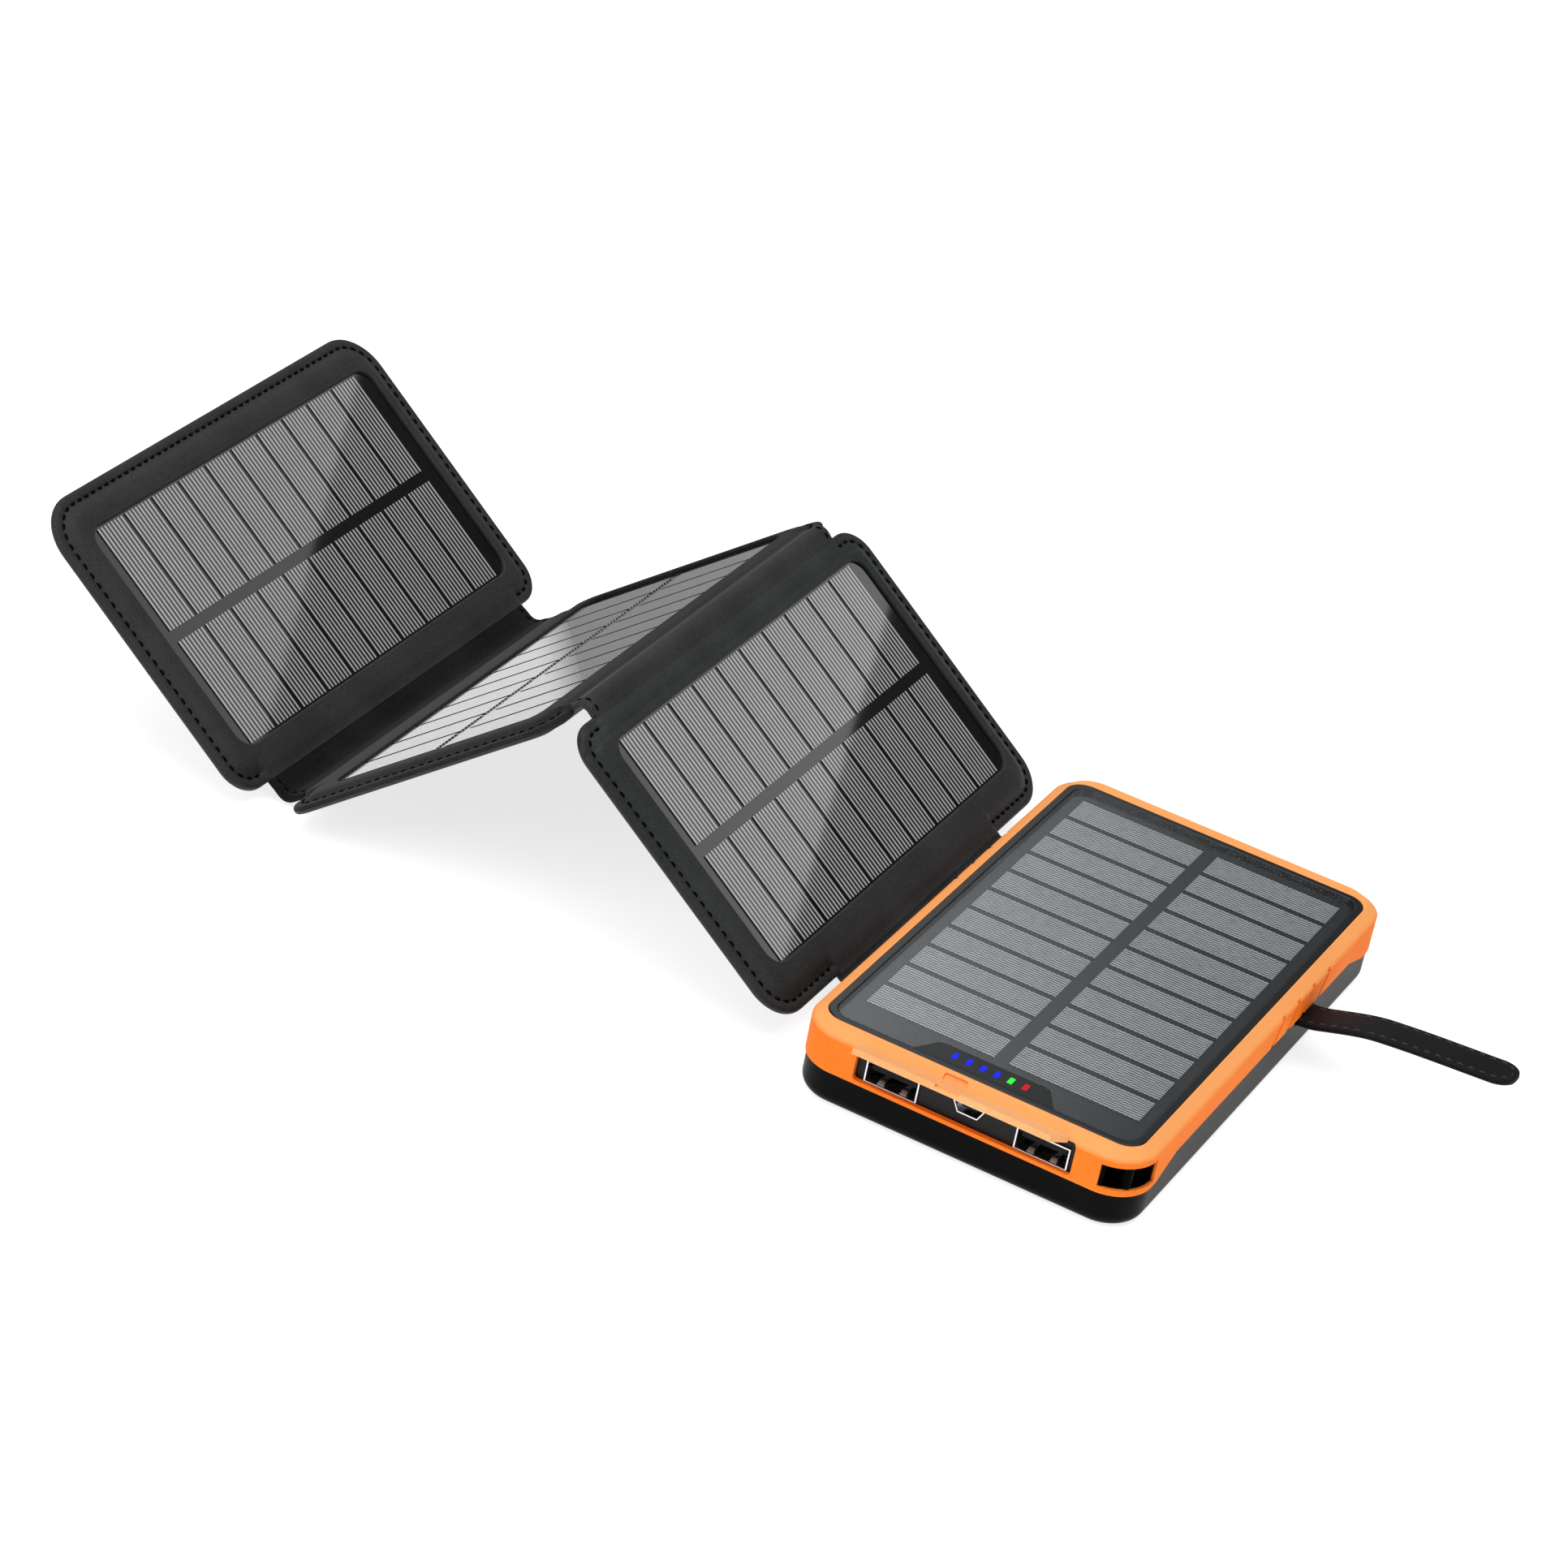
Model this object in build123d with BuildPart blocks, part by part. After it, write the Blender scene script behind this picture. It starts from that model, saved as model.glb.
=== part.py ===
"""Folding solar phone charger: a power bank with a solar cell deck on top, and three leather-bound
solar panels hinged to its left side in a zigzag. Origin at the centre of the power bank's underside,
+X to the closure strap's side, +Y away from the ports, +Z up. Millimetres."""
from build123d import *
from math import cos, sin, radians, tan
import os

os.makedirs("parts", exist_ok=True)

# ---------------------------------------------------------------- driving dimensions
# power bank case
case_w, case_l, case_t = 85.0, 145.0, 20.0
case_r = 10.0            # plan corner radius
wall = 2.0
bevel_out, bevel_down = 3.0, 2.2     # sloped shoulder round the deck
split_end, split_side = 9.0, 12.2    # height of the joint between the shells, at the ends and along the sides
ramp_a, ramp_b = 60.0, 50.0          # the joint climbs between these Y values
deck_z = 17.0            # top of the shelf that carries the solar deck
shelf = 1.0
BOSSES = [(-35.5, 65.5), (35.5, 65.5), (-37.2, -49.0), (37.2, -49.0)]   # screw positions
button_y, button_z = -57.5, 13.4
# solar deck
rim_x, rim_y0, rim_y1, rim_r = 39.2, -68.0, 66.2, 5.0
rim_w = 2.0
glass_top = 20.0
cell_x = 34.0            # half width of the cell field
cell_y0, cell_y1 = -55.5, 60.6
# indicator window
led_x0, led_x1, led_y0, led_y1 = -17.4, 18.4, -66.0, -59.6
led_pos = [-8.1, -4.6, -1.1, 2.3]
led_green_x, led_red_x, led_y = 5.8, 9.4, -62.7
# ports
port_x, port_z0, port_z1 = 27.0, 10.0, 18.2
usb_xs = (-18.0, 19.2)
usb_w, usb_h, usb_len, usb_t = 13.1, 5.7, 14.0, 0.35
usb_z = 13.1
micro_x, micro_w, micro_h, micro_z, micro_len = 0.8, 8.0, 2.9, 14.4, 5.6
cover_x0, cover_x1, cover_h, cover_t = -26.1, 23.2, 8.1, 1.4
cover_open = 25.0        # degrees above level at rest
# folding panels
t_panel = 4.2
t_skin = 0.9
t_board, t_core = 1.4, 1.0
core_inset = 4.4                     # foam and stiffener stop this far inside the stitched edge
y_c, half_l = 7.5, 69.5              # panel centre and half length along Y
grid_y0, grid_y1 = -49.0, 64.0
win_y0, win_y1 = -52.3, 69.3
grid_w = 61.5
edge_1, far_1 = 11.3, 12.2           # panel 1: hinge line to cells, cells to ridge
len_2 = 92.0                         # panel 2: ridge to valley
near_3, free_3 = 15.1, 10.8          # panel 3: valley to cells, cells to free edge
a1, a2, a3 = 37.0, 38.95, 37.6       # slopes of the panels at rest
notch_r, notch_v = 4.5, 5.4          # stiff part stops this far from the ridge and the valley
band_y0, band_y1 = -51.5, 65.5       # the hinge leather between panels
flap_y0, flap_y1 = -35.0, 49.0       # the hinge leather to the case
hinge_t = 1.8
E0 = (-49.0, 9.0)                    # panel 1's hinge edge, top face
# closure strap
strap_y0, strap_y1 = 19.7, 29.9
strap_t = 1.5
strap_root = (45.6, 10.4)
strap_len_1, strap_len_2 = 25.0, 24.2
strap_a1, strap_a2 = 11.5, 4.0
bend_gap = 0.95


def vec(angle):
    return (cos(radians(angle)), sin(radians(angle)))


u1, u2, u3 = vec(180 - a1), vec(180 + a2), vec(180 - a3)
len_1 = edge_1 + grid_w + far_1
R = (E0[0] + u1[0] * len_1, E0[1] + u1[1] * len_1)          # ridge
V = (R[0] + u2[0] * len_2, R[1] + u2[1] * len_2)            # valley
len_3 = near_3 + grid_w + free_3
ridge_axis = (R[0], R[1] - (t_panel + 0.3) / cos(radians((a1 + a2) / 2)))
valley_axis = (V[0], V[1] + 0.3 / cos(radians((a2 + a3) / 2)))
case_axis = (-44.1, 13.7)
strap_mid = (strap_root[0] + strap_len_1 * vec(strap_a1)[0], strap_root[1] + strap_len_1 * vec(strap_a1)[1])
print("ridge", R, "valley", V, "ridge axis", ridge_axis, "valley axis", valley_axis)
print("strap axes", strap_root, strap_mid)


def panel_plane(start, u):
    """Plane of a panel's top face: local x runs from start along u, local z is the sunny side."""
    return Plane(origin=(start[0], 0, start[1]), x_dir=(u[0], 0, u[1]), z_dir=(abs(u[1]) if u[1] > 0 else u[1], 0, -u[0]))


# ---------------------------------------------------------------- case envelope, used by both shells
with BuildPart() as envelope:
    with BuildSketch(Plane.XY):
        RectangleRounded(case_w, case_l, case_r)
    extrude(amount=case_t)
    chamfer(envelope.faces().sort_by(Axis.Z)[-1].edges(), length=bevel_down, length2=bevel_out)

with BuildPart() as above:
    with BuildSketch(Plane.YZ.offset(-60)) as s_above:
        with BuildLine():
            Polyline((-100, split_end), (-ramp_a, split_end), (-ramp_b, split_side), (ramp_b, split_side),
                     (ramp_a, split_end), (100, split_end), (100, 40), (-100, 40), (-100, split_end))
        make_face()
    extrude(amount=120)

# ---------------------------------------------------------------- upper shell
with BuildPart() as upper_shell:
    add(envelope.part)
    add(above.part, mode=Mode.INTERSECT)
    # inside, below the shelf
    with BuildSketch(Plane.XY.offset(deck_z - shelf)):
        RectangleRounded(case_w - 2 * wall, case_l - 2 * wall, case_r - wall)
    extrude(amount=-20, mode=Mode.SUBTRACT)
    # seat of the solar deck
    with BuildSketch(Plane.XY.offset(deck_z)):
        with Locations((0, (rim_y0 + rim_y1) / 2)):
            RectangleRounded(2 * rim_x + 0.1, rim_y1 - rim_y0 + 0.1, rim_r)
    extrude(amount=10, mode=Mode.SUBTRACT)
    # wire hole in the shelf, under the indicator window
    with BuildSketch(Plane.XY.offset(deck_z + 1)):
        with Locations((0.6, -62.8)):
            RectangleRounded(24, 4.4, 1.0)
    extrude(amount=-4, mode=Mode.SUBTRACT)
    # port recess through the front wall
    with BuildSketch(Plane.XZ.offset(case_l / 2 + 1)):
        with Locations((0, (port_z0 + port_z1) / 2)):
            RectangleRounded(2 * port_x, port_z1 - port_z0, 1.0)
    extrude(amount=-5, mode=Mode.SUBTRACT)
    # finger dent in the shoulder above the ports
    with BuildSketch(Plane(origin=(-4.1, -70.4, 19.34), x_dir=(1, 0, 0), z_dir=(0, -0.591, 0.806)).offset(1.0)):
        RectangleRounded(5.8, 1.9, 0.6)
    extrude(amount=-1.5, mode=Mode.SUBTRACT)
    # four screw bosses
    with BuildSketch(Plane.XY.offset(deck_z - 1.0)):
        with Locations(*BOSSES):
            Circle(2.6)
        with Locations(*BOSSES):
            Circle(1.0, mode=Mode.SUBTRACT)
    extrude(amount=-(deck_z - 1.0 - 12.5))
    # lanyard pocket in the front right corner
    with BuildSketch(Plane.XY.offset(10.6)):
        with Locations((39.35, -68.4)):
            Rectangle(11.9, 12.6)
    extrude(amount=5.8, mode=Mode.SUBTRACT)
    # button hole in the left wall
    with BuildSketch(Plane.YZ.offset(-case_w / 2 - 1)):
        with Locations((button_y, button_z)):
            SlotOverall(7.3, 3.7)
    extrude(amount=5, mode=Mode.SUBTRACT)
    # grip grooves, both long sides
    for side in (1, -1):
        for k in range(4):
            yk = 6.0 + 9.0 * k
            with BuildSketch(Plane(origin=(side * (case_w / 2 - 0.55), yk, 15.2), x_dir=(0, 1, 0), z_dir=(side, 0, 0))):
                Rectangle(1.5, 9.5, rotation=-38 * side)
            extrude(amount=2, mode=Mode.SUBTRACT)
upper_shell.part.label = "upper_shell"

# ---------------------------------------------------------------- lower shell
with BuildPart() as lower_shell:
    with BuildSketch(Plane.XY):
        RectangleRounded(case_w - 0.8, case_l - 0.8, case_r - 0.4)
    extrude(amount=case_t)
    fillet(lower_shell.faces().sort_by(Axis.Z)[0].edges(), radius=3.2)
    add(above.part.moved(Location((0, 0, -0.05))), mode=Mode.SUBTRACT)
    with BuildSketch(Plane.XY.offset(wall)):
        RectangleRounded(case_w - 2 * wall - 0.6, case_l - 2 * wall - 0.6, case_r - wall)
    extrude(amount=20, mode=Mode.SUBTRACT)
    with BuildSketch(Plane.XY.offset(wall - 0.5)):
        with Locations(*BOSSES):
            Circle(3.25)
    extrude(amount=10.9)
    with Locations(Plane.XY.offset(0)):
        with Locations(*[Location((x, y, 0), (180, 0, 0)) for x, y in BOSSES]):
            CounterBoreHole(radius=1.15, counter_bore_radius=2.2, counter_bore_depth=2.6, depth=20)
    # slot for the hinge leather, left side
    with BuildSketch(Plane.YZ.offset(-case_w / 2 - 1)):
        with Locations(((flap_y0 + flap_y1) / 2, 9.0)):
            Rectangle(flap_y1 - flap_y0 + 1.0, hinge_t + 0.4)
    extrude(amount=6, mode=Mode.SUBTRACT)
    # slot for the strap, right side
    with BuildSketch(Plane.YZ.offset(case_w / 2 - 5)):
        with Locations(((strap_y0 + strap_y1) / 2, strap_root[1])):
            Rectangle(strap_y1 - strap_y0 + 0.8, strap_t + 0.3)
    extrude(amount=8, mode=Mode.SUBTRACT)
lower_shell.part.label = "lower_shell"

# ---------------------------------------------------------------- solar deck
with BuildPart() as deck_bezel:
    with BuildSketch(Plane.XY.offset(deck_z + 0.05)):
        with Locations((0, (rim_y0 + rim_y1) / 2)):
            RectangleRounded(2 * rim_x - 0.1, rim_y1 - rim_y0 - 0.1, rim_r)
            RectangleRounded(2 * (rim_x - rim_w), rim_y1 - rim_y0 - 2 * rim_w + 0.2, rim_r - rim_w + 0.8, mode=Mode.SUBTRACT)
    extrude(amount=glass_top + 0.15 - deck_z - 0.05)
    fillet(deck_bezel.faces().sort_by(Axis.Z)[-1].edges(), radius=0.35)
deck_bezel.part.label = "deck_bezel"

in_w = 2 * (rim_x - rim_w) - 0.1
in_l = rim_y1 - rim_y0 - 2 * rim_w + 0.1
in_y = (rim_y0 + rim_y1) / 2

with BuildPart() as deck_board:
    with BuildSketch(Plane.XY.offset(deck_z + 0.05)):
        with Locations((0, in_y)):
            RectangleRounded(in_w, in_l, rim_r - rim_w + 0.75)
        with Locations((0.6, -62.8)):
            RectangleRounded(24, 4.4, 1.0, mode=Mode.SUBTRACT)
    extrude(amount=1.45)
deck_board.part.label = "deck_board"

with BuildPart() as deck_cells:
    with BuildSketch(Plane.XY.offset(deck_z + 1.55)):
        with Locations((0, (cell_y0 + cell_y1) / 2)):
            with GridLocations(35.85, (cell_y1 - cell_y0 + 1.4) / 11, 2, 11):
                Rectangle(32.15, (cell_y1 - cell_y0 + 1.4) / 11 - 1.4)
    extrude(amount=0.35)
deck_cells.part.label = "deck_cells"



def tab_outline(grow):
    """Rounded tab at the front of the glass that carries the indicator lights."""
    with BuildSketch() as sk:
        with BuildLine():
            FilletPolyline((led_x0 - 3, led_y0 - 4), (led_x0 + 0.2, led_y0 - 0.6), (led_x0 + 4.4, led_y1), (led_x1 - 4.4, led_y1),
                           (led_x1 - 0.2, led_y0 - 0.6), (led_x1 + 3, led_y0 - 4), radius=2.4)
            Line((led_x1 + 3, led_y0 - 4), (led_x0 - 3, led_y0 - 4))
        make_face()
        if grow:
            offset(amount=grow)
    return sk.sketch


with BuildPart() as deck_glass:
    with BuildSketch(Plane.XY.offset(deck_z + 1.95)):
        with Locations((0, in_y)):
            RectangleRounded(in_w, in_l, rim_r - rim_w + 0.75)
        add(tab_outline(0.05), mode=Mode.SUBTRACT)
    extrude(amount=glass_top - deck_z - 1.95)
deck_glass.part.label = "deck_glass"

with BuildPart() as led_window:
    with BuildSketch(Plane.XY.offset(deck_z + 1.95)):
        add(tab_outline(0.0))
        with Locations((0, in_y)):
            RectangleRounded(in_w, in_l, rim_r - rim_w + 0.75, mode=Mode.INTERSECT)
        with Locations(*[(x, led_y) for x in led_pos + [led_green_x, led_red_x]]):
            Rectangle(1.3, 2.6, mode=Mode.SUBTRACT)
    extrude(amount=glass_top + 0.02 - deck_z - 1.95)
led_window.part.label = "led_window"


def led_block(xs, label):
    with BuildPart() as led:
        with BuildSketch(Plane.XY.offset(deck_z + 0.3)):
            with Locations(*[(x, led_y) for x in xs]):
                Rectangle(1.2, 2.5)
        extrude(amount=glass_top + 0.04 - deck_z - 0.3)
    led.part.label = label
    return led.part


led_blue = led_block(led_pos, "led_blue")
led_green = led_block([led_green_x], "led_green")
led_red = led_block([led_red_x], "led_red")

# ---------------------------------------------------------------- ports
with BuildPart() as port_panel:
    with BuildSketch(Plane.XZ.offset(case_l / 2 - 1.3)):
        with Locations((0, (port_z0 + port_z1) / 2)):
            RectangleRounded(2 * port_x - 0.1, port_z1 - port_z0 - 0.1, 0.95)
        with Locations(*[(x, usb_z) for x in usb_xs]):
            Rectangle(usb_w + 0.1, usb_h + 0.1, mode=Mode.SUBTRACT)
        with Locations((micro_x, micro_z)):
            Trapezoid(micro_w + 0.1, micro_h + 0.1, 62, rotation=180, mode=Mode.SUBTRACT)
    extrude(amount=-1.3)
port_panel.part.label = "port_panel"

usb_front = case_l / 2 - 0.75


def usb_a(x, label):
    with BuildPart() as shell:
        with BuildSketch(Plane.XZ.offset(usb_front)):
            with Locations((x, usb_z)):
                Rectangle(usb_w, usb_h)
                Rectangle(usb_w - 2 * usb_t, usb_h - 2 * usb_t, mode=Mode.SUBTRACT)
        extrude(amount=-usb_len)
        with BuildSketch(Plane.XZ.offset(usb_front - usb_len + 0.4)):
            with Locations((x, usb_z)):
                Rectangle(usb_w, usb_h)
        extrude(amount=-0.4)
    shell.part.label = label
    with BuildPart() as tongue:
        with BuildSketch(Plane.XZ.offset(usb_front - 1.2)):
            with Locations((x, usb_z + usb_h / 2 - usb_t - 1.35)):
                Rectangle(11.1, 1.8)
        extrude(amount=-(usb_len - 1.2 - 0.45))
    tongue.part.label = label + "_tongue"
    return shell.part, tongue.part


usb_a_left, usb_a_left_tongue = usb_a(usb_xs[0], "usb_a_left")
usb_a_right, usb_a_right_tongue = usb_a(usb_xs[1], "usb_a_right")

with BuildPart() as micro_usb:
    with BuildSketch(Plane.XZ.offset(usb_front)):
        with Locations((micro_x, micro_z)):
            Trapezoid(micro_w, micro_h, 62, rotation=180)
            Trapezoid(micro_w - 0.9, micro_h - 0.6, 62, rotation=180, mode=Mode.SUBTRACT)
    extrude(amount=-micro_len)
    with BuildSketch(Plane.XZ.offset(usb_front - micro_len + 0.3)):
        with Locations((micro_x, micro_z)):
            Trapezoid(micro_w, micro_h, 62, rotation=180)
    extrude(amount=-0.3)
micro_usb.part.label = "micro_usb"

with BuildPart() as micro_usb_tongue:
    with BuildSketch(Plane.XZ.offset(usb_front - 0.8)):
        with Locations((micro_x, micro_z + 0.35)):
            Rectangle(3.9, 0.6)
    extrude(amount=-(micro_len - 0.8 - 0.35))
micro_usb_tongue.part.label = "micro_usb_tongue"

# port cover: a soft flap on a moulded hinge along the top of the recess, swung open at rest
cover_axis = (-(case_l / 2 + 0.1), port_z1 + 0.3)      # Y, Z
cc, cs_ = cos(radians(cover_open)), sin(radians(cover_open))
cover_plane = Plane(origin=(0, cover_axis[0], cover_axis[1]), x_dir=(1, 0, 0), z_dir=(0, cs_, cc))
with BuildPart() as port_cover:
    with BuildSketch(cover_plane.offset(-0.5)):
        with BuildLine():
            Polyline((cover_x0, 0.3), (cover_x1 + 1.6, 0.3), (cover_x1, -cover_h), (cover_x0 + 0.6, -cover_h), (cover_x0, 0.3))
        make_face()
    extrude(amount=cover_t)
    # finger step in the free edge
    with BuildSketch(cover_plane.offset(cover_t - 0.5 - 0.6)):
        with Locations((-2.3, -cover_h + 0.45)):
            Rectangle(6.0, 1.5)
    extrude(amount=1.0, mode=Mode.SUBTRACT)
port_cover.part.label = "port_cover"

# ---------------------------------------------------------------- inside the case
with BuildPart() as main_board:
    with BuildSketch(Plane.XY.offset(9.0)):
        with Locations((0, -57.2)):
            Rectangle(66, 24)
    extrude(amount=1.2)
main_board.part.label = "main_board"

with BuildPart() as board_components:
    with BuildSketch(Plane.XY.offset(10.22)):
        with Locations((-28.5, -50), (28.5, -50)):
            Circle(3.2)
        with Locations((-9, -50.5), (9, -50.5)):
            Rectangle(7, 7)
        with Locations((0.8, -57)):
            Rectangle(5, 5)
    extrude(amount=3.2)
board_components.part.label = "board_components"

with BuildPart() as button_switch:
    with BuildSketch(Plane.XY.offset(10.22)):
        with Locations((-30.6, button_y)):
            Rectangle(4.4, 6.0)
    extrude(amount=4.6)
button_switch.part.label = "button_switch"

with BuildPart() as power_button:
    with BuildSketch(Plane.YZ.offset(-case_w / 2 - 0.5)):
        with Locations((button_y, button_z)):
            SlotOverall(7.2, 3.6)
    extrude(amount=2.3)
    with BuildSketch(Plane.YZ.offset(-case_w / 2 + wall + 0.05)):
        with Locations((button_y, button_z)):
            Rectangle(8.6, 3.9)
    extrude(amount=0.8)
    with BuildSketch(Plane.YZ.offset(-case_w / 2 + 1.5)):
        with Locations((button_y, button_z)):
            Circle(1.3)
    extrude(amount=case_w / 2 - 1.5 - 32.8 - 0.6)
power_button.part.label = "power_button"

cell_w, cell_l, cell_h = 38.0, 98.0, 6.5


def battery(x, z, label):
    with BuildPart() as cell:
        with BuildSketch(Plane.XY.offset(z)):
            with Locations((x, 11.0)):
                RectangleRounded(cell_w, cell_l, 2.0)
        extrude(amount=cell_h)
    cell.part.label = label
    return cell.part


battery_left_lower = battery(-19.3, 2.2, "battery_left_lower")
battery_right_lower = battery(19.3, 2.2, "battery_right_lower")
battery_left_upper = battery(-19.3, 8.9, "battery_left_upper")
battery_right_upper = battery(19.3, 8.9, "battery_right_upper")

with BuildPart() as battery_foam:
    with BuildSketch(Plane.XY.offset(8.9 + cell_h + 0.05)):
        with Locations((0, 11)):
            with GridLocations(38.6, 0, 2, 1):
                Rectangle(30, 80)
    extrude(amount=0.3)
battery_foam.part.label = "battery_foam"

with BuildPart() as case_screws:
    with BuildSketch(Plane.XY.offset(0.9)):
        with Locations(*BOSSES):
            Circle(1.95)
    extrude(amount=1.65)
    with BuildSketch(Plane.XY.offset(2.5)):
        with Locations(*BOSSES):
            Circle(0.98)
    extrude(amount=12.0)
    with BuildSketch(Plane.XY.offset(0.9)):
        with Locations(*BOSSES):
            Rectangle(2.6, 0.5)
            Rectangle(0.5, 2.6)
    extrude(amount=0.8, mode=Mode.SUBTRACT)
case_screws.part.label = "case_screws"

# lanyard insert: a black pocket in the corner with an upright post across it
with BuildPart() as lanyard_insert:
    with BuildSketch(Plane.XY.offset(10.65)):
        with BuildLine():
            Polyline((33.45, -62.15), (33.45, -71.9), (34.35, -71.9), (34.35, -63.05), (41.9, -63.05), (41.9, -62.15), (33.45, -62.15))
        make_face()
    extrude(amount=5.7)
    with BuildSketch(Plane.XY.offset(10.65)) as ins_base:
        with Locations((37.925, -67.0)):
            Rectangle(8.95, 9.7)
        RectangleRounded(case_w - 1.4, case_l - 1.4, case_r - 0.7, mode=Mode.INTERSECT)
    extrude(amount=0.45)
    with BuildSketch(Plane.XY.offset(15.9)):
        with Locations((37.925, -67.0)):
            Rectangle(8.95, 9.7)
        RectangleRounded(case_w - 1.4, case_l - 1.4, case_r - 0.7, mode=Mode.INTERSECT)
    extrude(amount=0.45)
    with BuildSketch(Plane.XY.offset(10.9)):
        with Locations((38.6, -68.6)):
            Circle(1.25)
    extrude(amount=5.2)
lanyard_insert.part.label = "lanyard_insert"

# clamp bars that hold the leather inside the case
with BuildPart() as hinge_clamp_bar:
    with BuildSketch(Plane.XZ.offset(-flap_y1)):
        with Locations((-39.35, 9.0)):
            Rectangle(0.8, 3.4)
    extrude(amount=flap_y1 - flap_y0)
hinge_clamp_bar.part.label = "hinge_clamp_bar"
with BuildPart() as strap_clamp_bar:
    with BuildSketch(Plane.XZ.offset(-strap_y1)):
        with Locations((39.35, strap_root[1])):
            Rectangle(0.8, 3.4)
    extrude(amount=strap_y1 - strap_y0)
strap_clamp_bar.part.label = "strap_clamp_bar"

# ---------------------------------------------------------------- folding panels


def outline(s0, s1, inset, r0, r1):
    """Panel outline between s0 and s1, with corner radii r0 at the near end and r1 at the far end."""
    a, b = s0 + inset, s1 - inset
    lo, hi = -(y_c + half_l) + inset, -(y_c - half_l) - inset
    r0, r1 = max(r0 - inset, 0.6), max(r1 - inset, 0.6)
    with BuildSketch(Plane.XY) as sk:
        with BuildLine():
            l1 = Line((a + r0, lo), (b - r1, lo))
            JernArc(l1 @ 1, l1 % 1, r1, 90)
            l2 = Line((b, lo + r1), (b, hi - r1))
            JernArc(l2 @ 1, l2 % 1, r1, 90)
            l3 = Line((b - r1, hi), (a + r0, hi))
            JernArc(l3 @ 1, l3 % 1, r0, 90)
            l4 = Line((a, hi - r0), (a, lo + r0))
            JernArc(l4 @ 1, l4 % 1, r0, 90)
        make_face()
    return sk.sketch


def panel(n, plane, s0, s1, g0, r0, r1, lead_at):
    """The pieces of one folding panel. The cells start g0 along the panel from its plane's origin."""
    g1 = g0 + grid_w
    wy, wl = -(win_y0 + win_y1) / 2, win_y1 - win_y0
    wx = (g0 + g1) / 2
    pieces = {}
    with BuildPart() as front:
        with BuildSketch(plane):
            add(outline(s0, s1, 0, r0, r1))
            with Locations((wx, wy)):
                RectangleRounded(grid_w + 1.0, wl, 4.5, mode=Mode.SUBTRACT)
        extrude(amount=-t_skin)
    pieces[f"panel_{n}_front_cover"] = front.part
    with BuildPart() as board:
        with BuildSketch(plane.offset(-t_skin - 0.02)):
            with Locations((wx, wy)):
                RectangleRounded(grid_w + 6.0, wl + 4.0, 2.0)
        extrude(amount=-(t_board - 0.04))
    pieces[f"panel_{n}_solar_board"] = board.part
    with BuildPart() as cells:
        with BuildSketch(plane.offset(-t_skin + 0.25)):
            with Locations((wx, -(grid_y0 + grid_y1) / 2)):
                with GridLocations((grid_w + 3.1) / 2, (grid_y1 - grid_y0 + 1.3) / 10, 2, 10):
                    Rectangle((grid_w + 3.1) / 2 - 3.1, (grid_y1 - grid_y0 + 1.3) / 10 - 1.3)
            with Locations((wx, wy)):
                RectangleRounded(grid_w + 0.9, wl - 0.1, 4.45, mode=Mode.INTERSECT)
        extrude(amount=-0.25)
    pieces[f"panel_{n}_cells"] = cells.part
    with BuildPart() as padding:
        with BuildSketch(plane.offset(-t_skin - 0.02)):
            add(outline(s0, s1, core_inset, r0, r1))
            with Locations((wx, wy)):
                RectangleRounded(grid_w + 6.2, wl + 4.2, 2.1, mode=Mode.SUBTRACT)
        extrude(amount=-(t_board - 0.04))
    pieces[f"panel_{n}_padding"] = padding.part
    with BuildPart() as core:
        with BuildSketch(plane.offset(-t_skin - t_board)):
            add(outline(s0, s1, core_inset, r0, r1))
        extrude(amount=-t_core)
        with BuildSketch(plane.offset(-t_skin - t_board)):
            with Locations(((s0 + s1) / 2, lead_at)):
                Rectangle(s1 - s0 - 2 * core_inset + 1.0, 6.4)
        extrude(amount=-0.35, mode=Mode.SUBTRACT)
    pieces[f"panel_{n}_stiffener"] = core.part
    with BuildPart() as lead:
        with BuildSketch(plane.offset(-t_skin - t_board - 0.05)):
            with Locations(((s0 + s1) / 2, lead_at)):
                Rectangle(s1 - s0 - 2 * core_inset - 1.0, 6.0)
        extrude(amount=-0.25)
    pieces[f"panel_{n}_ribbon_lead"] = lead.part
    with BuildPart() as back:
        with BuildSketch(plane.offset(-t_panel + t_skin)):
            add(outline(s0, s1, 0, r0, r1))
        extrude(amount=-t_skin)
    pieces[f"panel_{n}_back_cover"] = back.part
    return pieces


plane_1, plane_2, plane_3 = panel_plane(E0, u1), panel_plane(R, u2), panel_plane(V, u3)
stop_1 = len_1 - notch_r
parts = {}
parts.update(panel(1, plane_1, 0.0, stop_1, edge_1, 10.0, 8.0, 10.0))
parts.update(panel(2, plane_2, notch_r, len_2 - notch_v, (len_2 + notch_r - notch_v - grid_w) / 2, 8.0, 8.0, 10.0))
parts.update(panel(3, plane_3, notch_v, len_3, near_3, 8.0, 12.0, 10.0))

# magnet hidden in panel 3, where the strap's tip lands
magnet_s, magnet_y = 80.0, -(strap_y0 + strap_y1) / 2
with BuildPart() as panel_magnet:
    with BuildSketch(plane_3.offset(-t_skin - t_board)):
        with Locations((magnet_s, magnet_y)):
            Circle(2.4)
    extrude(amount=-(t_core - 0.02))
panel_magnet.part.label = "panel_magnet"
with BuildPart() as stiff_3:
    add(parts["panel_3_stiffener"])
    with BuildSketch(plane_3.offset(-t_skin - t_board + 0.2)):
        with Locations((magnet_s, magnet_y)):
            Circle(2.45)
    extrude(amount=-2, mode=Mode.SUBTRACT)
parts["panel_3_stiffener"] = stiff_3.part
parts["panel_magnet"] = panel_magnet.part


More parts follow.
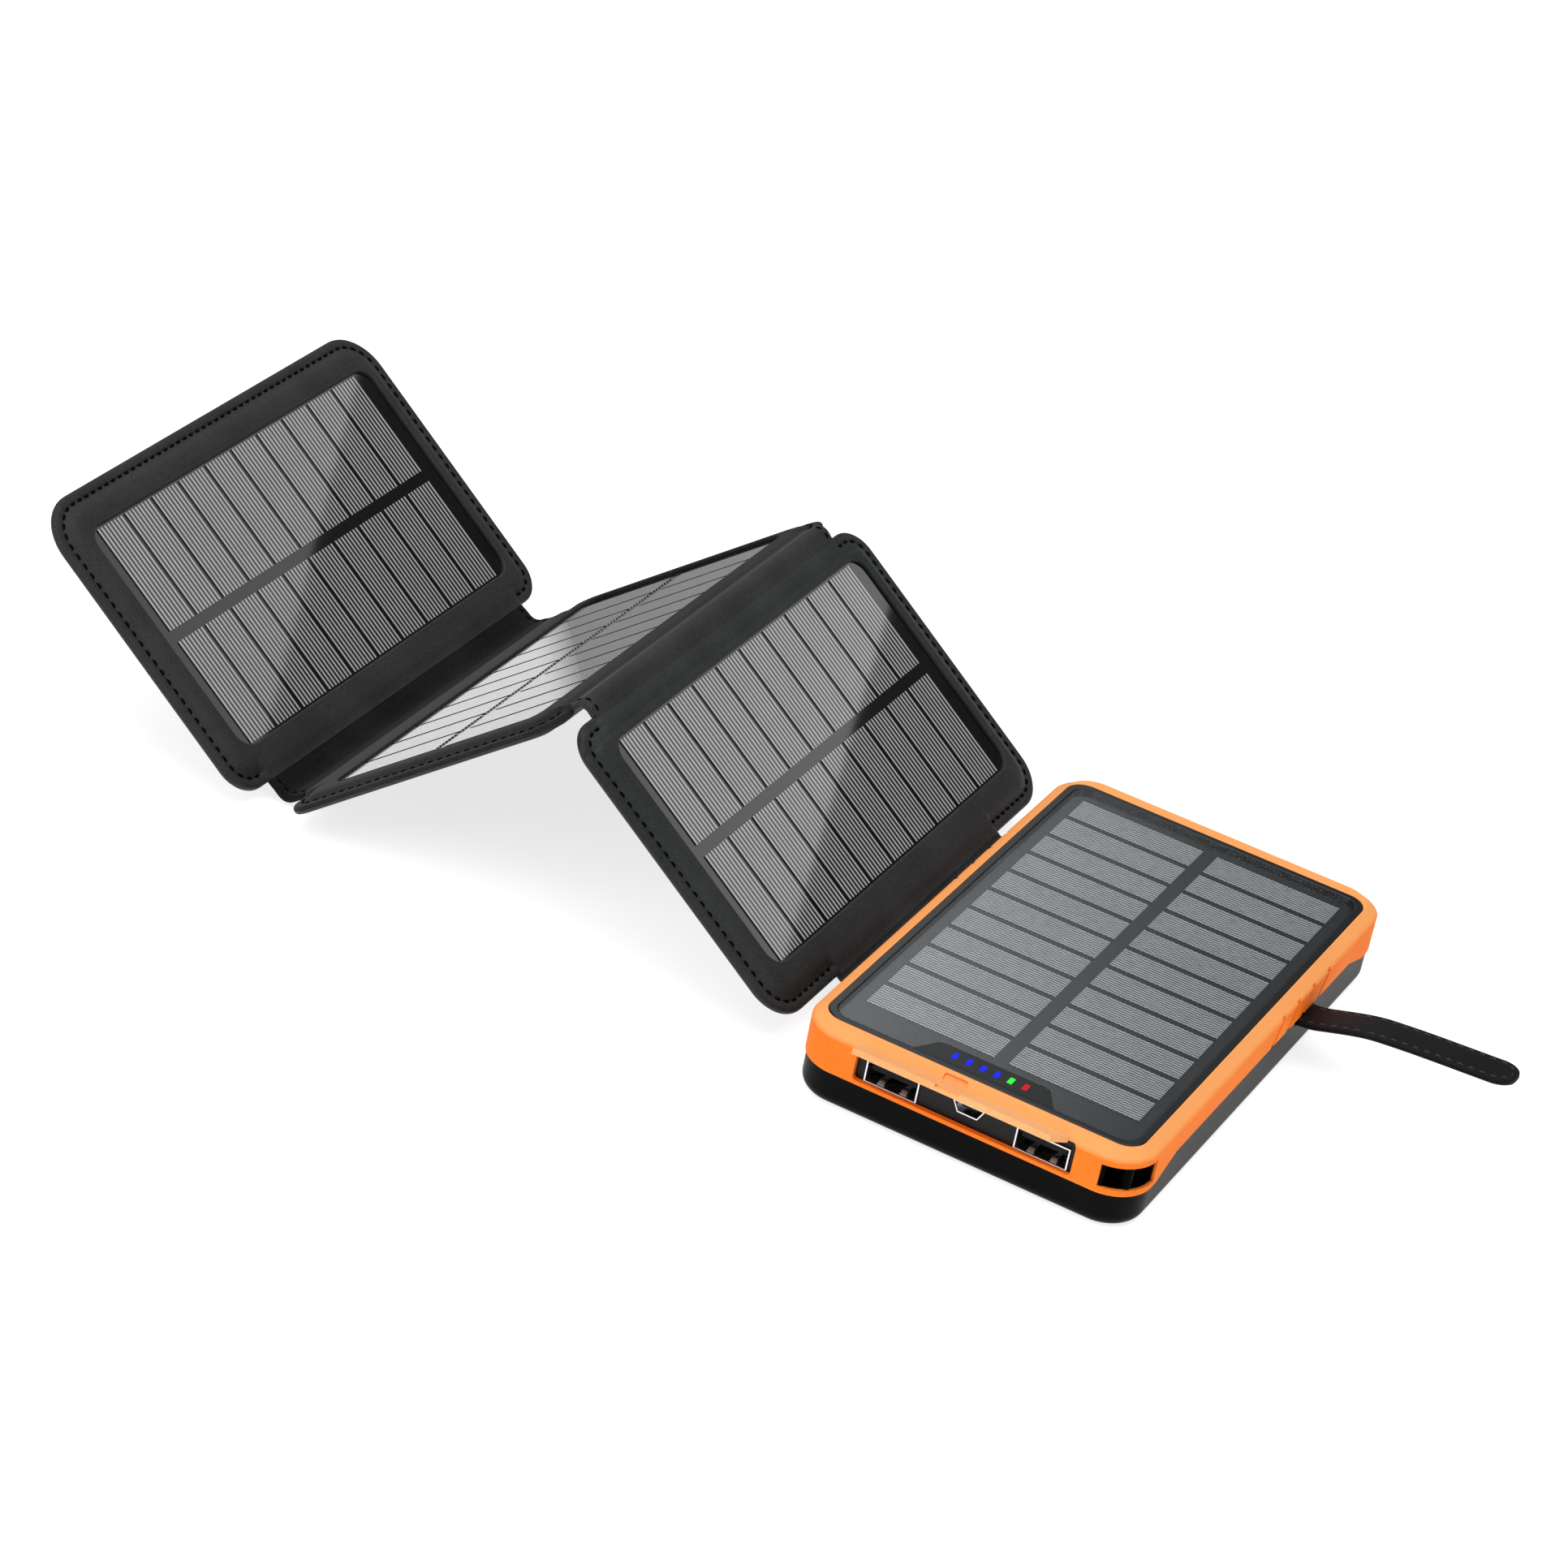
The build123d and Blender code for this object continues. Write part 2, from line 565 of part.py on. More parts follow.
# hinge leathers: strips drawn in the XZ plane
def at(start, u, s, n):
    """Point s along u from start, n above the panel's top face."""
    nx, nz = (u[1], -u[0])
    return (start[0] + u[0] * s + nx * n, start[1] + u[1] * s + nz * n)


def strip(points, y0, y1, label):
    with BuildPart() as leather:
        with BuildSketch(Plane.XZ.offset(-y1)):
            with BuildLine():
                Polyline(*points, close=True)
            make_face()
        extrude(amount=y1 - y0)
    leather.part.label = label
    return leather.part


g = 0.15
ridge_leather = strip([at(E0, u1, stop_1 + g, -0.2), at(E0, u1, len_1, -0.2), at(R, u2, notch_r - g, -0.2),
                       at(R, u2, notch_r - g, -0.2 - hinge_t),
                       (R[0], R[1] - (0.2 + hinge_t) / cos(radians((a1 + a2) / 2))),
                       at(E0, u1, stop_1 + g, -0.2 - hinge_t)], band_y0, band_y1, "ridge_leather")
valley_leather = strip([at(R, u2, len_2 - notch_v + g, 0), V, at(V, u3, notch_v - g, 0),
                        at(V, u3, notch_v - g, -hinge_t), (V[0], V[1] - hinge_t / cos(radians((a2 + a3) / 2))),
                        at(R, u2, len_2 - notch_v + g, -hinge_t)], band_y0, band_y1, "valley_leather")
case_leather = strip([(-39.9, 9.0 - hinge_t / 2), (-39.9, 9.0 + hinge_t / 2), (-46.2, 9.0 + hinge_t / 2),
                      (-47.6, 8.6 + hinge_t / 2), at(E0, u1, -0.2, -0.6), at(E0, u1, -0.2, -2.2),
                      (-47.0, 8.3 - hinge_t / 2), (-45.8, 9.0 - hinge_t / 2)], flap_y0, flap_y1, "case_leather")


# closure strap: the fixed end, the part that stands up the side, and the tip that lies over the folded panels
def strap_plane(origin, angle):
    return Plane(origin=(origin[0], 0, origin[1]), x_dir=(vec(angle)[0], 0, vec(angle)[1]), z_dir=(-vec(angle)[1], 0, vec(angle)[0]))


strap_yc, strap_w = (strap_y0 + strap_y1) / 2, strap_y1 - strap_y0
with BuildPart() as strap_end:
    with BuildSketch(Plane.XY.offset(strap_root[1] - strap_t / 2)):
        with Locations(((39.9 + strap_root[0] - bend_gap) / 2, strap_yc)):
            Rectangle(strap_root[0] - bend_gap - 39.9, strap_w)
    extrude(amount=strap_t)
strap_end.part.label = "strap_end"
sp1 = strap_plane(strap_root, strap_a1)
with BuildPart() as strap_riser:
    with BuildSketch(sp1.offset(-strap_t / 2)):
        with Locations((strap_len_1 / 2, strap_yc)):
            Rectangle(strap_len_1 - 2 * bend_gap, strap_w)
    extrude(amount=strap_t)
strap_riser.part.label = "strap_riser"
sp2 = strap_plane(strap_mid, strap_a2)
with BuildPart() as strap_tip:
    with BuildSketch(sp2.offset(-strap_t / 2)):
        with BuildLine():
            t1 = Line((bend_gap, strap_y0), (strap_len_2 - strap_w / 2, strap_y0))
            t2 = JernArc(t1 @ 1, t1 % 1, strap_w / 2, 180)
            t3 = Line(t2 @ 1, (bend_gap, strap_y1))
            Line(t3 @ 1, t1 @ 0)
        make_face()
    extrude(amount=strap_t)
    with BuildSketch(sp2.offset(-0.52)):
        with Locations((15.7, strap_yc)):
            Circle(3.55)
    extrude(amount=1.04, mode=Mode.SUBTRACT)
strap_tip.part.label = "strap_tip"
with BuildPart() as strap_magnet:
    with BuildSketch(sp2.offset(-0.5)):
        with Locations((15.7, strap_yc)):
            Circle(3.5)
    extrude(amount=1.0)
strap_magnet.part.label = "strap_magnet"

# ---------------------------------------------------------------- write every piece
parts.update({
    "upper_shell": upper_shell.part, "lower_shell": lower_shell.part, "deck_bezel": deck_bezel.part,
    "deck_board": deck_board.part, "deck_cells": deck_cells.part, "deck_glass": deck_glass.part,
    "led_window": led_window.part, "led_blue": led_blue, "led_green": led_green, "led_red": led_red,
    "port_panel": port_panel.part, "usb_a_left": usb_a_left, "usb_a_left_tongue": usb_a_left_tongue,
    "usb_a_right": usb_a_right, "usb_a_right_tongue": usb_a_right_tongue, "micro_usb": micro_usb.part,
    "micro_usb_tongue": micro_usb_tongue.part, "port_cover": port_cover.part, "main_board": main_board.part,
    "board_components": board_components.part, "button_switch": button_switch.part,
    "power_button": power_button.part, "battery_left_lower": battery_left_lower,
    "battery_right_lower": battery_right_lower, "battery_left_upper": battery_left_upper,
    "battery_right_upper": battery_right_upper, "battery_foam": battery_foam.part,
    "case_screws": case_screws.part, "lanyard_insert": lanyard_insert.part,
    "hinge_clamp_bar": hinge_clamp_bar.part, "strap_clamp_bar": strap_clamp_bar.part,
    "ridge_leather": ridge_leather, "valley_leather": valley_leather, "case_leather": case_leather,
    "strap_end": strap_end.part, "strap_riser": strap_riser.part, "strap_tip": strap_tip.part,
    "strap_magnet": strap_magnet.part,
})
for name, piece in parts.items():
    piece.label = name
    export_step(piece, f"parts/{name}.step")
print(len(parts), "pieces")
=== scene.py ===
"""Looks of the folding solar charger. Lengths in the helpers are millimetres and become metres in mesh()."""

import math

import bpy
import numpy as np
from mathutils import Matrix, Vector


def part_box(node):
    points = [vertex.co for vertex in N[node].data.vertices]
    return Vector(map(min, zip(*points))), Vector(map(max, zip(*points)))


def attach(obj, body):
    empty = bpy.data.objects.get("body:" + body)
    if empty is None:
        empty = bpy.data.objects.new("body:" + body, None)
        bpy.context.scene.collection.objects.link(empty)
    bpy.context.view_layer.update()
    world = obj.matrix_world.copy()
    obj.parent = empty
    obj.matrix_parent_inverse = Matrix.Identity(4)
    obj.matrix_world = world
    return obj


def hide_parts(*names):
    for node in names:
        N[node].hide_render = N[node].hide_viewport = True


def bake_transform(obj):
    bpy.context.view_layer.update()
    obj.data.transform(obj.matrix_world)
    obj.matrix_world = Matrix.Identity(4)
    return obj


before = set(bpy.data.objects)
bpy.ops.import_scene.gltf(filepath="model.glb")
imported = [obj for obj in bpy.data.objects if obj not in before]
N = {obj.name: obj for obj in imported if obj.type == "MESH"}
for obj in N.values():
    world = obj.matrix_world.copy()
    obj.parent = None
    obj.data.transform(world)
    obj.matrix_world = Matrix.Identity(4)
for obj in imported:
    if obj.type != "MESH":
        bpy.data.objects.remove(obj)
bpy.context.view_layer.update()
sc = bpy.context.scene
MM = 0.001


# ------------------------------------------------------------------ geometry of the folded chain
def vec(a):
    return np.array([math.cos(math.radians(a)), math.sin(math.radians(a))])


A1, A2, A3 = 37.0, 38.95, 37.6
U = {1: vec(180 - A1), 2: vec(180 + A2), 3: vec(180 - A3)}
LEN1, LEN2 = 85.0, 92.0
E0 = np.array([-49.0, 9.0])
RIDGE = E0 + U[1] * LEN1
VALLEY = RIDGE + U[2] * LEN2
START = {1: E0, 2: RIDGE, 3: VALLEY}
SPAN = {1: (0.0, 80.5), 2: (4.5, 86.6), 3: (5.4, 87.4)}
RADII = {1: (10.0, 8.0), 2: (8.0, 8.0), 3: (8.0, 12.0)}
WIN_S = {1: 11.3 + 30.75, 2: (92 + 4.5 - 5.4 - 61.5) / 2 + 30.75, 3: 15.1 + 30.75}   # middle of the window
Y0, Y1 = -62.0, 77.0
WIN_Y = (-52.3, 69.3)
BAND = (-51.5, 65.5)
FLAP = (-35.0, 49.0)


def normal(k):
    return np.array([U[k][1], -U[k][0]]) if U[k][1] > 0 else np.array([U[k][1], -U[k][0]])


def at(k, s, y, n):
    """Points of panel k: s along it from its upper or hinge end, y across, n above its sunny face."""
    s, y, n = np.broadcast_arrays(np.asarray(s, float), np.asarray(y, float), np.asarray(n, float))
    u, w, o = U[k], normal(k), START[k]
    return np.stack([o[0] + u[0] * s + w[0] * n, y, o[1] + u[1] * s + w[1] * n], -1)


def sstep(x, a, b):
    t = np.clip((np.asarray(x, float) - a) / (b - a), 0, 1)
    return t * t * (3 - 2 * t)


# ------------------------------------------------------------------ materials
def material(name):
    m = bpy.data.materials.new(name)
    m.use_nodes = True
    nt = m.node_tree
    nt.nodes.clear()
    out = nt.nodes.new("ShaderNodeOutputMaterial")
    bsdf = nt.nodes.new("ShaderNodeBsdfPrincipled")
    nt.links.new(bsdf.outputs[0], out.inputs[0])
    return m, nt, bsdf, out


def node(nt, kind, **values):
    n = nt.nodes.new(kind)
    for k, v in values.items():
        if hasattr(n, k) and k not in n.inputs:
            setattr(n, k, v)
        else:
            n.inputs[k.replace("_", " ")].default_value = v
    return n


def coords(nt, scale=(1, 1, 1), rotation=(0, 0, 0)):
    c = nt.nodes.new("ShaderNodeTexCoord")
    m = nt.nodes.new("ShaderNodeMapping")
    m.inputs["Scale"].default_value = scale
    m.inputs["Rotation"].default_value = rotation
    nt.links.new(c.outputs["Object"], m.inputs["Vector"])
    return m.outputs[0]


def ramp(nt, fac, stops):
    r = nt.nodes.new("ShaderNodeValToRGB")
    cr = r.color_ramp
    while len(cr.elements) < len(stops):
        cr.elements.new(0.5)
    for e, (p, c) in zip(cr.elements, stops):
        e.position = p
        e.color = (*c, 1) if len(c) == 3 else c
    nt.links.new(fac, r.inputs[0])
    return r.outputs[0]


def noise(nt, vector, scale, detail=3.0, rough=0.55):
    n = nt.nodes.new("ShaderNodeTexNoise")
    n.inputs["Scale"].default_value = scale
    n.inputs["Detail"].default_value = detail
    n.inputs["Roughness"].default_value = rough
    nt.links.new(vector, n.inputs["Vector"])
    return n.outputs["Fac"]


def bump(nt, bsdf, height, strength, distance):
    b = nt.nodes.new("ShaderNodeBump")
    b.inputs["Strength"].default_value = strength
    b.inputs["Distance"].default_value = distance
    nt.links.new(height, b.inputs["Height"])
    nt.links.new(b.outputs[0], bsdf.inputs["Normal"])


def math_(nt, op, a, b=None, c=None):
    n = nt.nodes.new("ShaderNodeMath")
    n.operation = op
    for i, v in enumerate((a, b, c)):
        if v is None:
            continue
        if isinstance(v, (int, float)):
            n.inputs[i].default_value = v
        else:
            nt.links.new(v, n.inputs[i])
    return n.outputs[0]


def moulded(name, dark, light, roughness, grain=2600.0, depth=0.00003, spec=0.5, coat=0.0, rough_span=0.08, painted_shoulder_light=None):
    """Moulded plastic: a fine spark-eroded grain, a slow drift of colour and of gloss."""
    m, nt, b, _ = material(name)
    v = coords(nt)
    drift = noise(nt, v, 38.0, 3.0)
    speck = noise(nt, v, grain, 2.0, 0.6)
    mixed = math_(nt, "ADD", math_(nt, "MULTIPLY", drift, 0.45), math_(nt, "MULTIPLY", speck, 0.55))
    colour = ramp(nt, mixed, [(0.3, dark), (0.7, light)])
    if painted_shoulder_light:
        # painted highlight: the raised shoulder above 17.4 mm is paled towards a lighter orange in the colour, standing
        # in for the light that falls on it from above
        sep = nt.nodes.new("ShaderNodeSeparateXYZ")
        nt.links.new(v, sep.inputs[0])
        rise = nt.nodes.new("ShaderNodeMapRange")
        rise.interpolation_type = "SMOOTHSTEP"
        rise.inputs["From Min"].default_value = 17.4 * MM
        rise.inputs["From Max"].default_value = 18.5 * MM
        rise.inputs["To Max"].default_value = 1.0
        nt.links.new(sep.outputs["Z"], rise.inputs["Value"])
        mix = nt.nodes.new("ShaderNodeMix")
        mix.data_type = "RGBA"
        nt.links.new(math_(nt, "MULTIPLY", rise.outputs["Result"], math_(nt, "MULTIPLY_ADD", mixed, 0.5, 0.65)), mix.inputs["Factor"])
        nt.links.new(colour, mix.inputs["A"])
        mix.inputs["B"].default_value = (*painted_shoulder_light, 1)
        colour = mix.outputs["Result"]
    nt.links.new(colour, b.inputs["Base Color"])
    nt.links.new(math_(nt, "MULTIPLY_ADD", drift, rough_span, roughness - rough_span / 2), b.inputs["Roughness"])
    b.inputs["Specular IOR Level"].default_value = spec
    b.inputs["Coat Weight"].default_value = coat
    b.inputs["Coat Roughness"].default_value = 0.12
    bump(nt, b, speck, 0.35, depth)
    return m


def leather(name, dark, light, roughness=0.5, spec=0.24, creases=()):
    """Fine-grained synthetic leather, with soft creases across X where it folds often: (x, half width) in mm."""
    m, nt, b, _ = material(name)
    v = coords(nt)
    cell = nt.nodes.new("ShaderNodeTexVoronoi")
    cell.feature = "DISTANCE_TO_EDGE"
    cell.inputs["Scale"].default_value = 1500.0
    cell.inputs["Randomness"].default_value = 1.0
    nt.links.new(v, cell.inputs["Vector"])
    pebble = math_(nt, "MINIMUM", math_(nt, "MULTIPLY", cell.outputs["Distance"], 3.2), 1.0)
    fine = noise(nt, v, 3800.0, 2.0)
    wear = noise(nt, v, 55.0, 4.0, 0.6)
    tone = math_(nt, "ADD", math_(nt, "MULTIPLY", wear, 0.62), math_(nt, "MULTIPLY", pebble, 0.30))
    nt.links.new(ramp(nt, tone, [(0.28, dark), (0.72, light)]), b.inputs["Base Color"])
    nt.links.new(math_(nt, "MULTIPLY_ADD", wear, 0.16, roughness - 0.08), b.inputs["Roughness"])
    b.inputs["Specular IOR Level"].default_value = spec
    b.inputs["Sheen Weight"].default_value = 0.04
    b.inputs["Sheen Roughness"].default_value = 0.5
    height = math_(nt, "ADD", math_(nt, "MULTIPLY", pebble, 0.7), math_(nt, "MULTIPLY", fine, 0.3))
    if creases:
        sep = nt.nodes.new("ShaderNodeSeparateXYZ")
        nt.links.new(v, sep.inputs[0])
        for x, half_w in creases:
            off = math_(nt, "ABSOLUTE", math_(nt, "MULTIPLY_ADD", sep.outputs["X"], 1000.0 / half_w, -x / half_w))
            fold = math_(nt, "SMOOTH_MIN", off, 1.0, 0.6)
            height = math_(nt, "MULTIPLY_ADD", fold, 6.0, height)
    bump(nt, b, height, 0.42, 0.00009)
    return m


def thread(name, colour):
    m, nt, b, _ = material(name)
    v = coords(nt, rotation=(0.3, 0.5, 0.6))
    w = nt.nodes.new("ShaderNodeTexWave")
    w.inputs["Scale"].default_value = 900.0
    w.inputs["Distortion"].default_value = 2.0
    nt.links.new(v, w.inputs["Vector"])
    nt.links.new(ramp(nt, w.outputs["Fac"], [(0.2, tuple(c * 0.55 for c in colour)), (0.8, colour)]), b.inputs["Base Color"])
    b.inputs["Roughness"].default_value = 0.8
    b.inputs["Specular IOR Level"].default_value = 0.06
    bump(nt, b, w.outputs["Fac"], 0.5, 0.00006)
    return m


# the orange shell's shoulder colour is a painted highlight for the light from above
M_ORANGE = moulded("orange_shell", (0.92, 0.165, 0.014), (1.0, 0.27, 0.034), 0.55, 2300.0, 0.00004, 0.03, painted_shoulder_light=(1.0, 0.42, 0.14))
# painted light: the port cover is a lighter copy of the orange, standing in for the light on its up-facing top
M_FLAP_PAINTED_LIGHT = moulded("orange_flap", (0.98, 0.36, 0.10), (1.0, 0.54, 0.25), 0.58, 2600.0, 0.00003, 0.1)
M_BLACK = moulded("black_shell", (0.0008, 0.0008, 0.0009), (0.0026, 0.0026, 0.0029), 0.36, 2300.0, 0.00003, 0.05)
M_BEZEL = moulded("deck_rim", (0.006, 0.007, 0.008), (0.011, 0.0125, 0.014), 0.3, 3000.0, 0.0, 0.1, coat=0.6)
M_PORT = moulded("port_black", (0.002, 0.002, 0.0022), (0.005, 0.005, 0.0055), 0.45, 3200.0, 0.00002, 0.22)
M_LANYARD = moulded("insert_black", (0.0004, 0.0004, 0.0004), (0.0012, 0.0012, 0.0013), 0.4, 700.0, 0.00002, 0.02)
M_BUTTON = moulded("button_black", (0.008, 0.008, 0.008), (0.018, 0.018, 0.018), 0.4, 2600.0, 0.00003)
M_CLAMP = moulded("clamp_black", (0.02, 0.02, 0.02), (0.045, 0.045, 0.045), 0.5)
M_BOARD = moulded("circuit_green", (0.008, 0.055, 0.02), (0.02, 0.11, 0.045), 0.35, 900.0, 0.00002)
M_CHIP = moulded("component_black", (0.008, 0.008, 0.008), (0.025, 0.025, 0.025), 0.6, 1800.0)
M_STIFF = moulded("stiffener", (0.12, 0.11, 0.095), (0.25, 0.23, 0.2), 0.8, 500.0, 0.00008)
M_FOAM = moulded("foam", (0.03, 0.03, 0.03), (0.09, 0.09, 0.09), 0.95, 1600.0, 0.0002, 0.1)
M_RIBBON = moulded("ribbon_film", (0.25, 0.10, 0.015), (0.42, 0.19, 0.04), 0.25, 500.0, 0.00001, 0.5, coat=0.4)
M_LEATHER = leather("leather", (0.0125, 0.0128, 0.0132), (0.034, 0.0345, 0.0352), 0.55)
M_STRAP = leather("strap_leather", (0.0028, 0.003, 0.0033), (0.0085, 0.0088, 0.0094), 0.46, 0.09)
# painted shade: a slightly darker, less red copy of the leather for panel 1, cancelling the orange light bounced from
# the case; its creases are bumps only
M_LEATHER_1_SHADE = leather("leather_ridge_side_painted_shade", (0.0112, 0.0126, 0.0132), (0.0305, 0.0338, 0.0352), 0.55, creases=((-112.9, 1.1), (-109.2, 0.9)))
M_THREAD = thread("black_thread", (0.0012, 0.0012, 0.0014))
M_THREAD_STRAP = thread("strap_thread", (0.085, 0.085, 0.085))
# painted shade: a darker, bluer copy of the leather for the strip next to the case, standing in for the shade there and
# cancelling the orange light bounced from the case
M_CASE_SHADE = leather("leather_case_side_painted_shade", (0.0088, 0.0116, 0.0126), (0.0240, 0.0312, 0.0338), 0.6, 0.12)
# painted shade: a darker copy of the leather for panel 2, which faces into the fold
M_INNER_SHADE = leather("leather_inner_painted_shade", (0.0105, 0.0108, 0.0112), (0.028, 0.0285, 0.0292), 0.62, 0.05)
# painted shade: a much darker copy of the leather for the valley crease, where shade falls
M_VALLEY_SHADE = leather("leather_valley_painted_shade", (0.0060, 0.0062, 0.0064), (0.017, 0.0173, 0.0178), 0.7, 0.02)


def metal(name, tint, roughness, streak=(60, 2400, 2400)):
    m, nt, b, _ = material(name)
    v = coords(nt, scale=streak)
    n = noise(nt, v, 1.0, 3.0)
    nt.links.new(ramp(nt, n, [(0.25, tuple(c * 0.78 for c in tint)), (0.8, tint)]), b.inputs["Base Color"])
    b.inputs["Metallic"].default_value = 1.0
    nt.links.new(math_(nt, "MULTIPLY_ADD", n, 0.14, roughness - 0.07), b.inputs["Roughness"])
    bump(nt, b, n, 0.15, 0.00001)
    return m


M_STEEL = metal("port_steel", (0.82, 0.82, 0.84), 0.26)
M_SPRING = metal("spring_steel", (0.30, 0.30, 0.31), 0.4)
M_TONGUE = moulded("tongue_grey", (0.006, 0.006, 0.0065), (0.014, 0.014, 0.015), 0.5, 2600.0, 0.00002, 0.1)
M_SCREW = metal("screw_black", (0.05, 0.05, 0.055), 0.35, (900, 900, 60))
M_MAGNET = metal("magnet_nickel", (0.78, 0.78, 0.8), 0.15, (300, 300, 900))
M_FOIL = metal("pouch_foil", (0.75, 0.76, 0.78), 0.38, (350, 350, 350))


def cells_material(name, start, pitch, first, step, count, width, bright, dark, rough, weave=False, coat=1.0):
    """Solar cells under film: on each strip, a set of bright grid fingers across Y, with a plain margin at both edges."""
    m, nt, b, _ = material(name)
    c = nt.nodes.new("ShaderNodeTexCoord")
    sep = nt.nodes.new("ShaderNodeSeparateXYZ")
    nt.links.new(c.outputs["Object"], sep.inputs[0])
    y = math_(nt, "MULTIPLY_ADD", sep.outputs["Y"], 1000.0, -start)
    local = math_(nt, "MULTIPLY", math_(nt, "FRACT", math_(nt, "DIVIDE", y, pitch)), pitch)
    if weave:
        # the printed fingers waver, which gives the deck its woven look
        local = math_(nt, "ADD", local, math_(nt, "MULTIPLY", math_(nt, "SINE", math_(nt, "MULTIPLY", sep.outputs["X"], 5200.0)), 0.12))
    count_at = math_(nt, "MULTIPLY_ADD", local, 1.0 / step, 0.5 - first / step)
    near = math_(nt, "ABSOLUTE", math_(nt, "SUBTRACT", math_(nt, "FRACT", count_at), 0.5))
    line = math_(nt, "SUBTRACT", 1.0, math_(nt, "SMOOTH_MIN", math_(nt, "DIVIDE", near, width), 1.0, 0.3))
    inside = math_(nt, "MULTIPLY", math_(nt, "GREATER_THAN", count_at, 0.0), math_(nt, "LESS_THAN", count_at, float(count)))
    line = math_(nt, "MULTIPLY", line, inside)
    if weave:
        # short streaks along each finger, where the print takes unevenly
        squeeze = nt.nodes.new("ShaderNodeCombineXYZ")
        nt.links.new(math_(nt, "MULTIPLY", sep.outputs["X"], 0.35), squeeze.inputs["X"])
        nt.links.new(sep.outputs["Y"], squeeze.inputs["Y"])
        streak = noise(nt, squeeze.outputs[0], 1300.0, 1.0)
        line = math_(nt, "MULTIPLY", line, math_(nt, "MULTIPLY_ADD", streak, 0.8, 0.58))
    grainy = noise(nt, c.outputs["Object"], 160.0, 3.0)
    fac = math_(nt, "ADD", line, math_(nt, "MULTIPLY", math_(nt, "SUBTRACT", grainy, 0.5), 0.12))
    nt.links.new(ramp(nt, fac, [(0.1, dark), (0.9, bright)]), b.inputs["Base Color"])
    nt.links.new(math_(nt, "MULTIPLY_ADD", grainy, 0.06, rough - 0.03), b.inputs["Roughness"])
    b.inputs["Specular IOR Level"].default_value = 0.12
    b.inputs["Coat Weight"].default_value = coat
    b.inputs["Coat Roughness"].default_value = 0.03
    bump(nt, b, line, 0.12, 0.00001)
    return m


ROW_P = 114.3 / 10
M_CELL = cells_material("panel_cells", -49.0, ROW_P, 0.40, 1.333, 8, 0.36, (0.495, 0.50, 0.508), (0.0045, 0.005, 0.0055), 0.34)
DECK_P = (60.6 + 55.5 + 1.4) / 11
M_DECKCELL = cells_material("deck_cells", -55.5, DECK_P, 0.604, 0.897, 10, 0.42, (0.63, 0.637, 0.648), (0.044, 0.047, 0.049), 0.36, weave=True, coat=0.0)


def laminate(name, dark, light, rough, coat):
    m, nt, b, _ = material(name)
    v = coords(nt)
    n = noise(nt, v, 90.0, 3.0)
    nt.links.new(ramp(nt, n, [(0.3, dark), (0.7, light)]), b.inputs["Base Color"])
    nt.links.new(math_(nt, "MULTIPLY_ADD", n, 0.05, rough - 0.02), b.inputs["Roughness"])
    b.inputs["Specular IOR Level"].default_value = 0.12
    b.inputs["Coat Weight"].default_value = coat
    b.inputs["Coat Roughness"].default_value = 0.03
    return m


M_LAM = laminate("solar_laminate", (0.0014, 0.0015, 0.0016), (0.003, 0.0032, 0.0034), 0.3, 1.0)
M_DECKLAM = laminate("deck_laminate", (0.0150, 0.0172, 0.0192), (0.0198, 0.0225, 0.0248), 0.4, 0.0)
M_LEDWIN = laminate("smoked_lens", (0.006, 0.0062, 0.0068), (0.010, 0.0105, 0.0115), 0.22, 0.4)


def glass(name, tint):
    """Clear cover: lets what is under it show and mirrors more at a low angle."""
    m = bpy.data.materials.new(name)
    m.use_nodes = True
    nt = m.node_tree
    nt.nodes.clear()
    out = nt.nodes.new("ShaderNodeOutputMaterial")
    mix = nt.nodes.new("ShaderNodeMixShader")
    clear = nt.nodes.new("ShaderNodeBsdfTransparent")
    gloss = nt.nodes.new("ShaderNodeBsdfGlossy")
    lw = nt.nodes.new("ShaderNodeLayerWeight")
    lw.inputs["Blend"].default_value = 0.5
    fres = math_(nt, "MULTIPLY_ADD", math_(nt, "POWER", lw.outputs["Facing"], 5.0), 0.9, 0.07)
    smear = noise(nt, coords(nt), 24.0, 3.0)
    nt.links.new(math_(nt, "MULTIPLY_ADD", smear, 0.02, 0.01), gloss.inputs["Roughness"])
    nt.links.new(ramp(nt, smear, [(0.2, tuple(c * 0.97 for c in tint)), (0.8, tint)]), clear.inputs["Color"])
    nt.links.new(fres, mix.inputs[0])
    nt.links.new(clear.outputs[0], mix.inputs[1])
    nt.links.new(gloss.outputs[0], mix.inputs[2])
    nt.links.new(mix.outputs[0], out.inputs[0])
    return m


M_GLASS = glass("deck_glass", (0.97, 0.978, 0.985))


def lamp(name, base, glow, strength):
    m, nt, b, _ = material(name)
    v = coords(nt)
    n = noise(nt, v, 900.0, 2.0)
    nt.links.new(ramp(nt, n, [(0.2, tuple(c * 0.8 for c in base)), (0.8, base)]), b.inputs["Base Color"])
    b.inputs["Emission Color"].default_value = (*glow, 1)
    b.inputs["Emission Strength"].default_value = strength
    b.inputs["Roughness"].default_value = 0.3
    b.inputs["Specular IOR Level"].default_value = 0.1
    return m


M_BLUE = lamp("led_blue", (0.004, 0.01, 0.35), (0.004, 0.016, 0.8), 0.9)
M_GREEN = lamp("led_green", (0.02, 0.4, 0.03), (0.03, 0.85, 0.06), 0.8)
M_RED = lamp("led_red", (0.3, 0.004, 0.01), (0.7, 0.004, 0.02), 0.65)

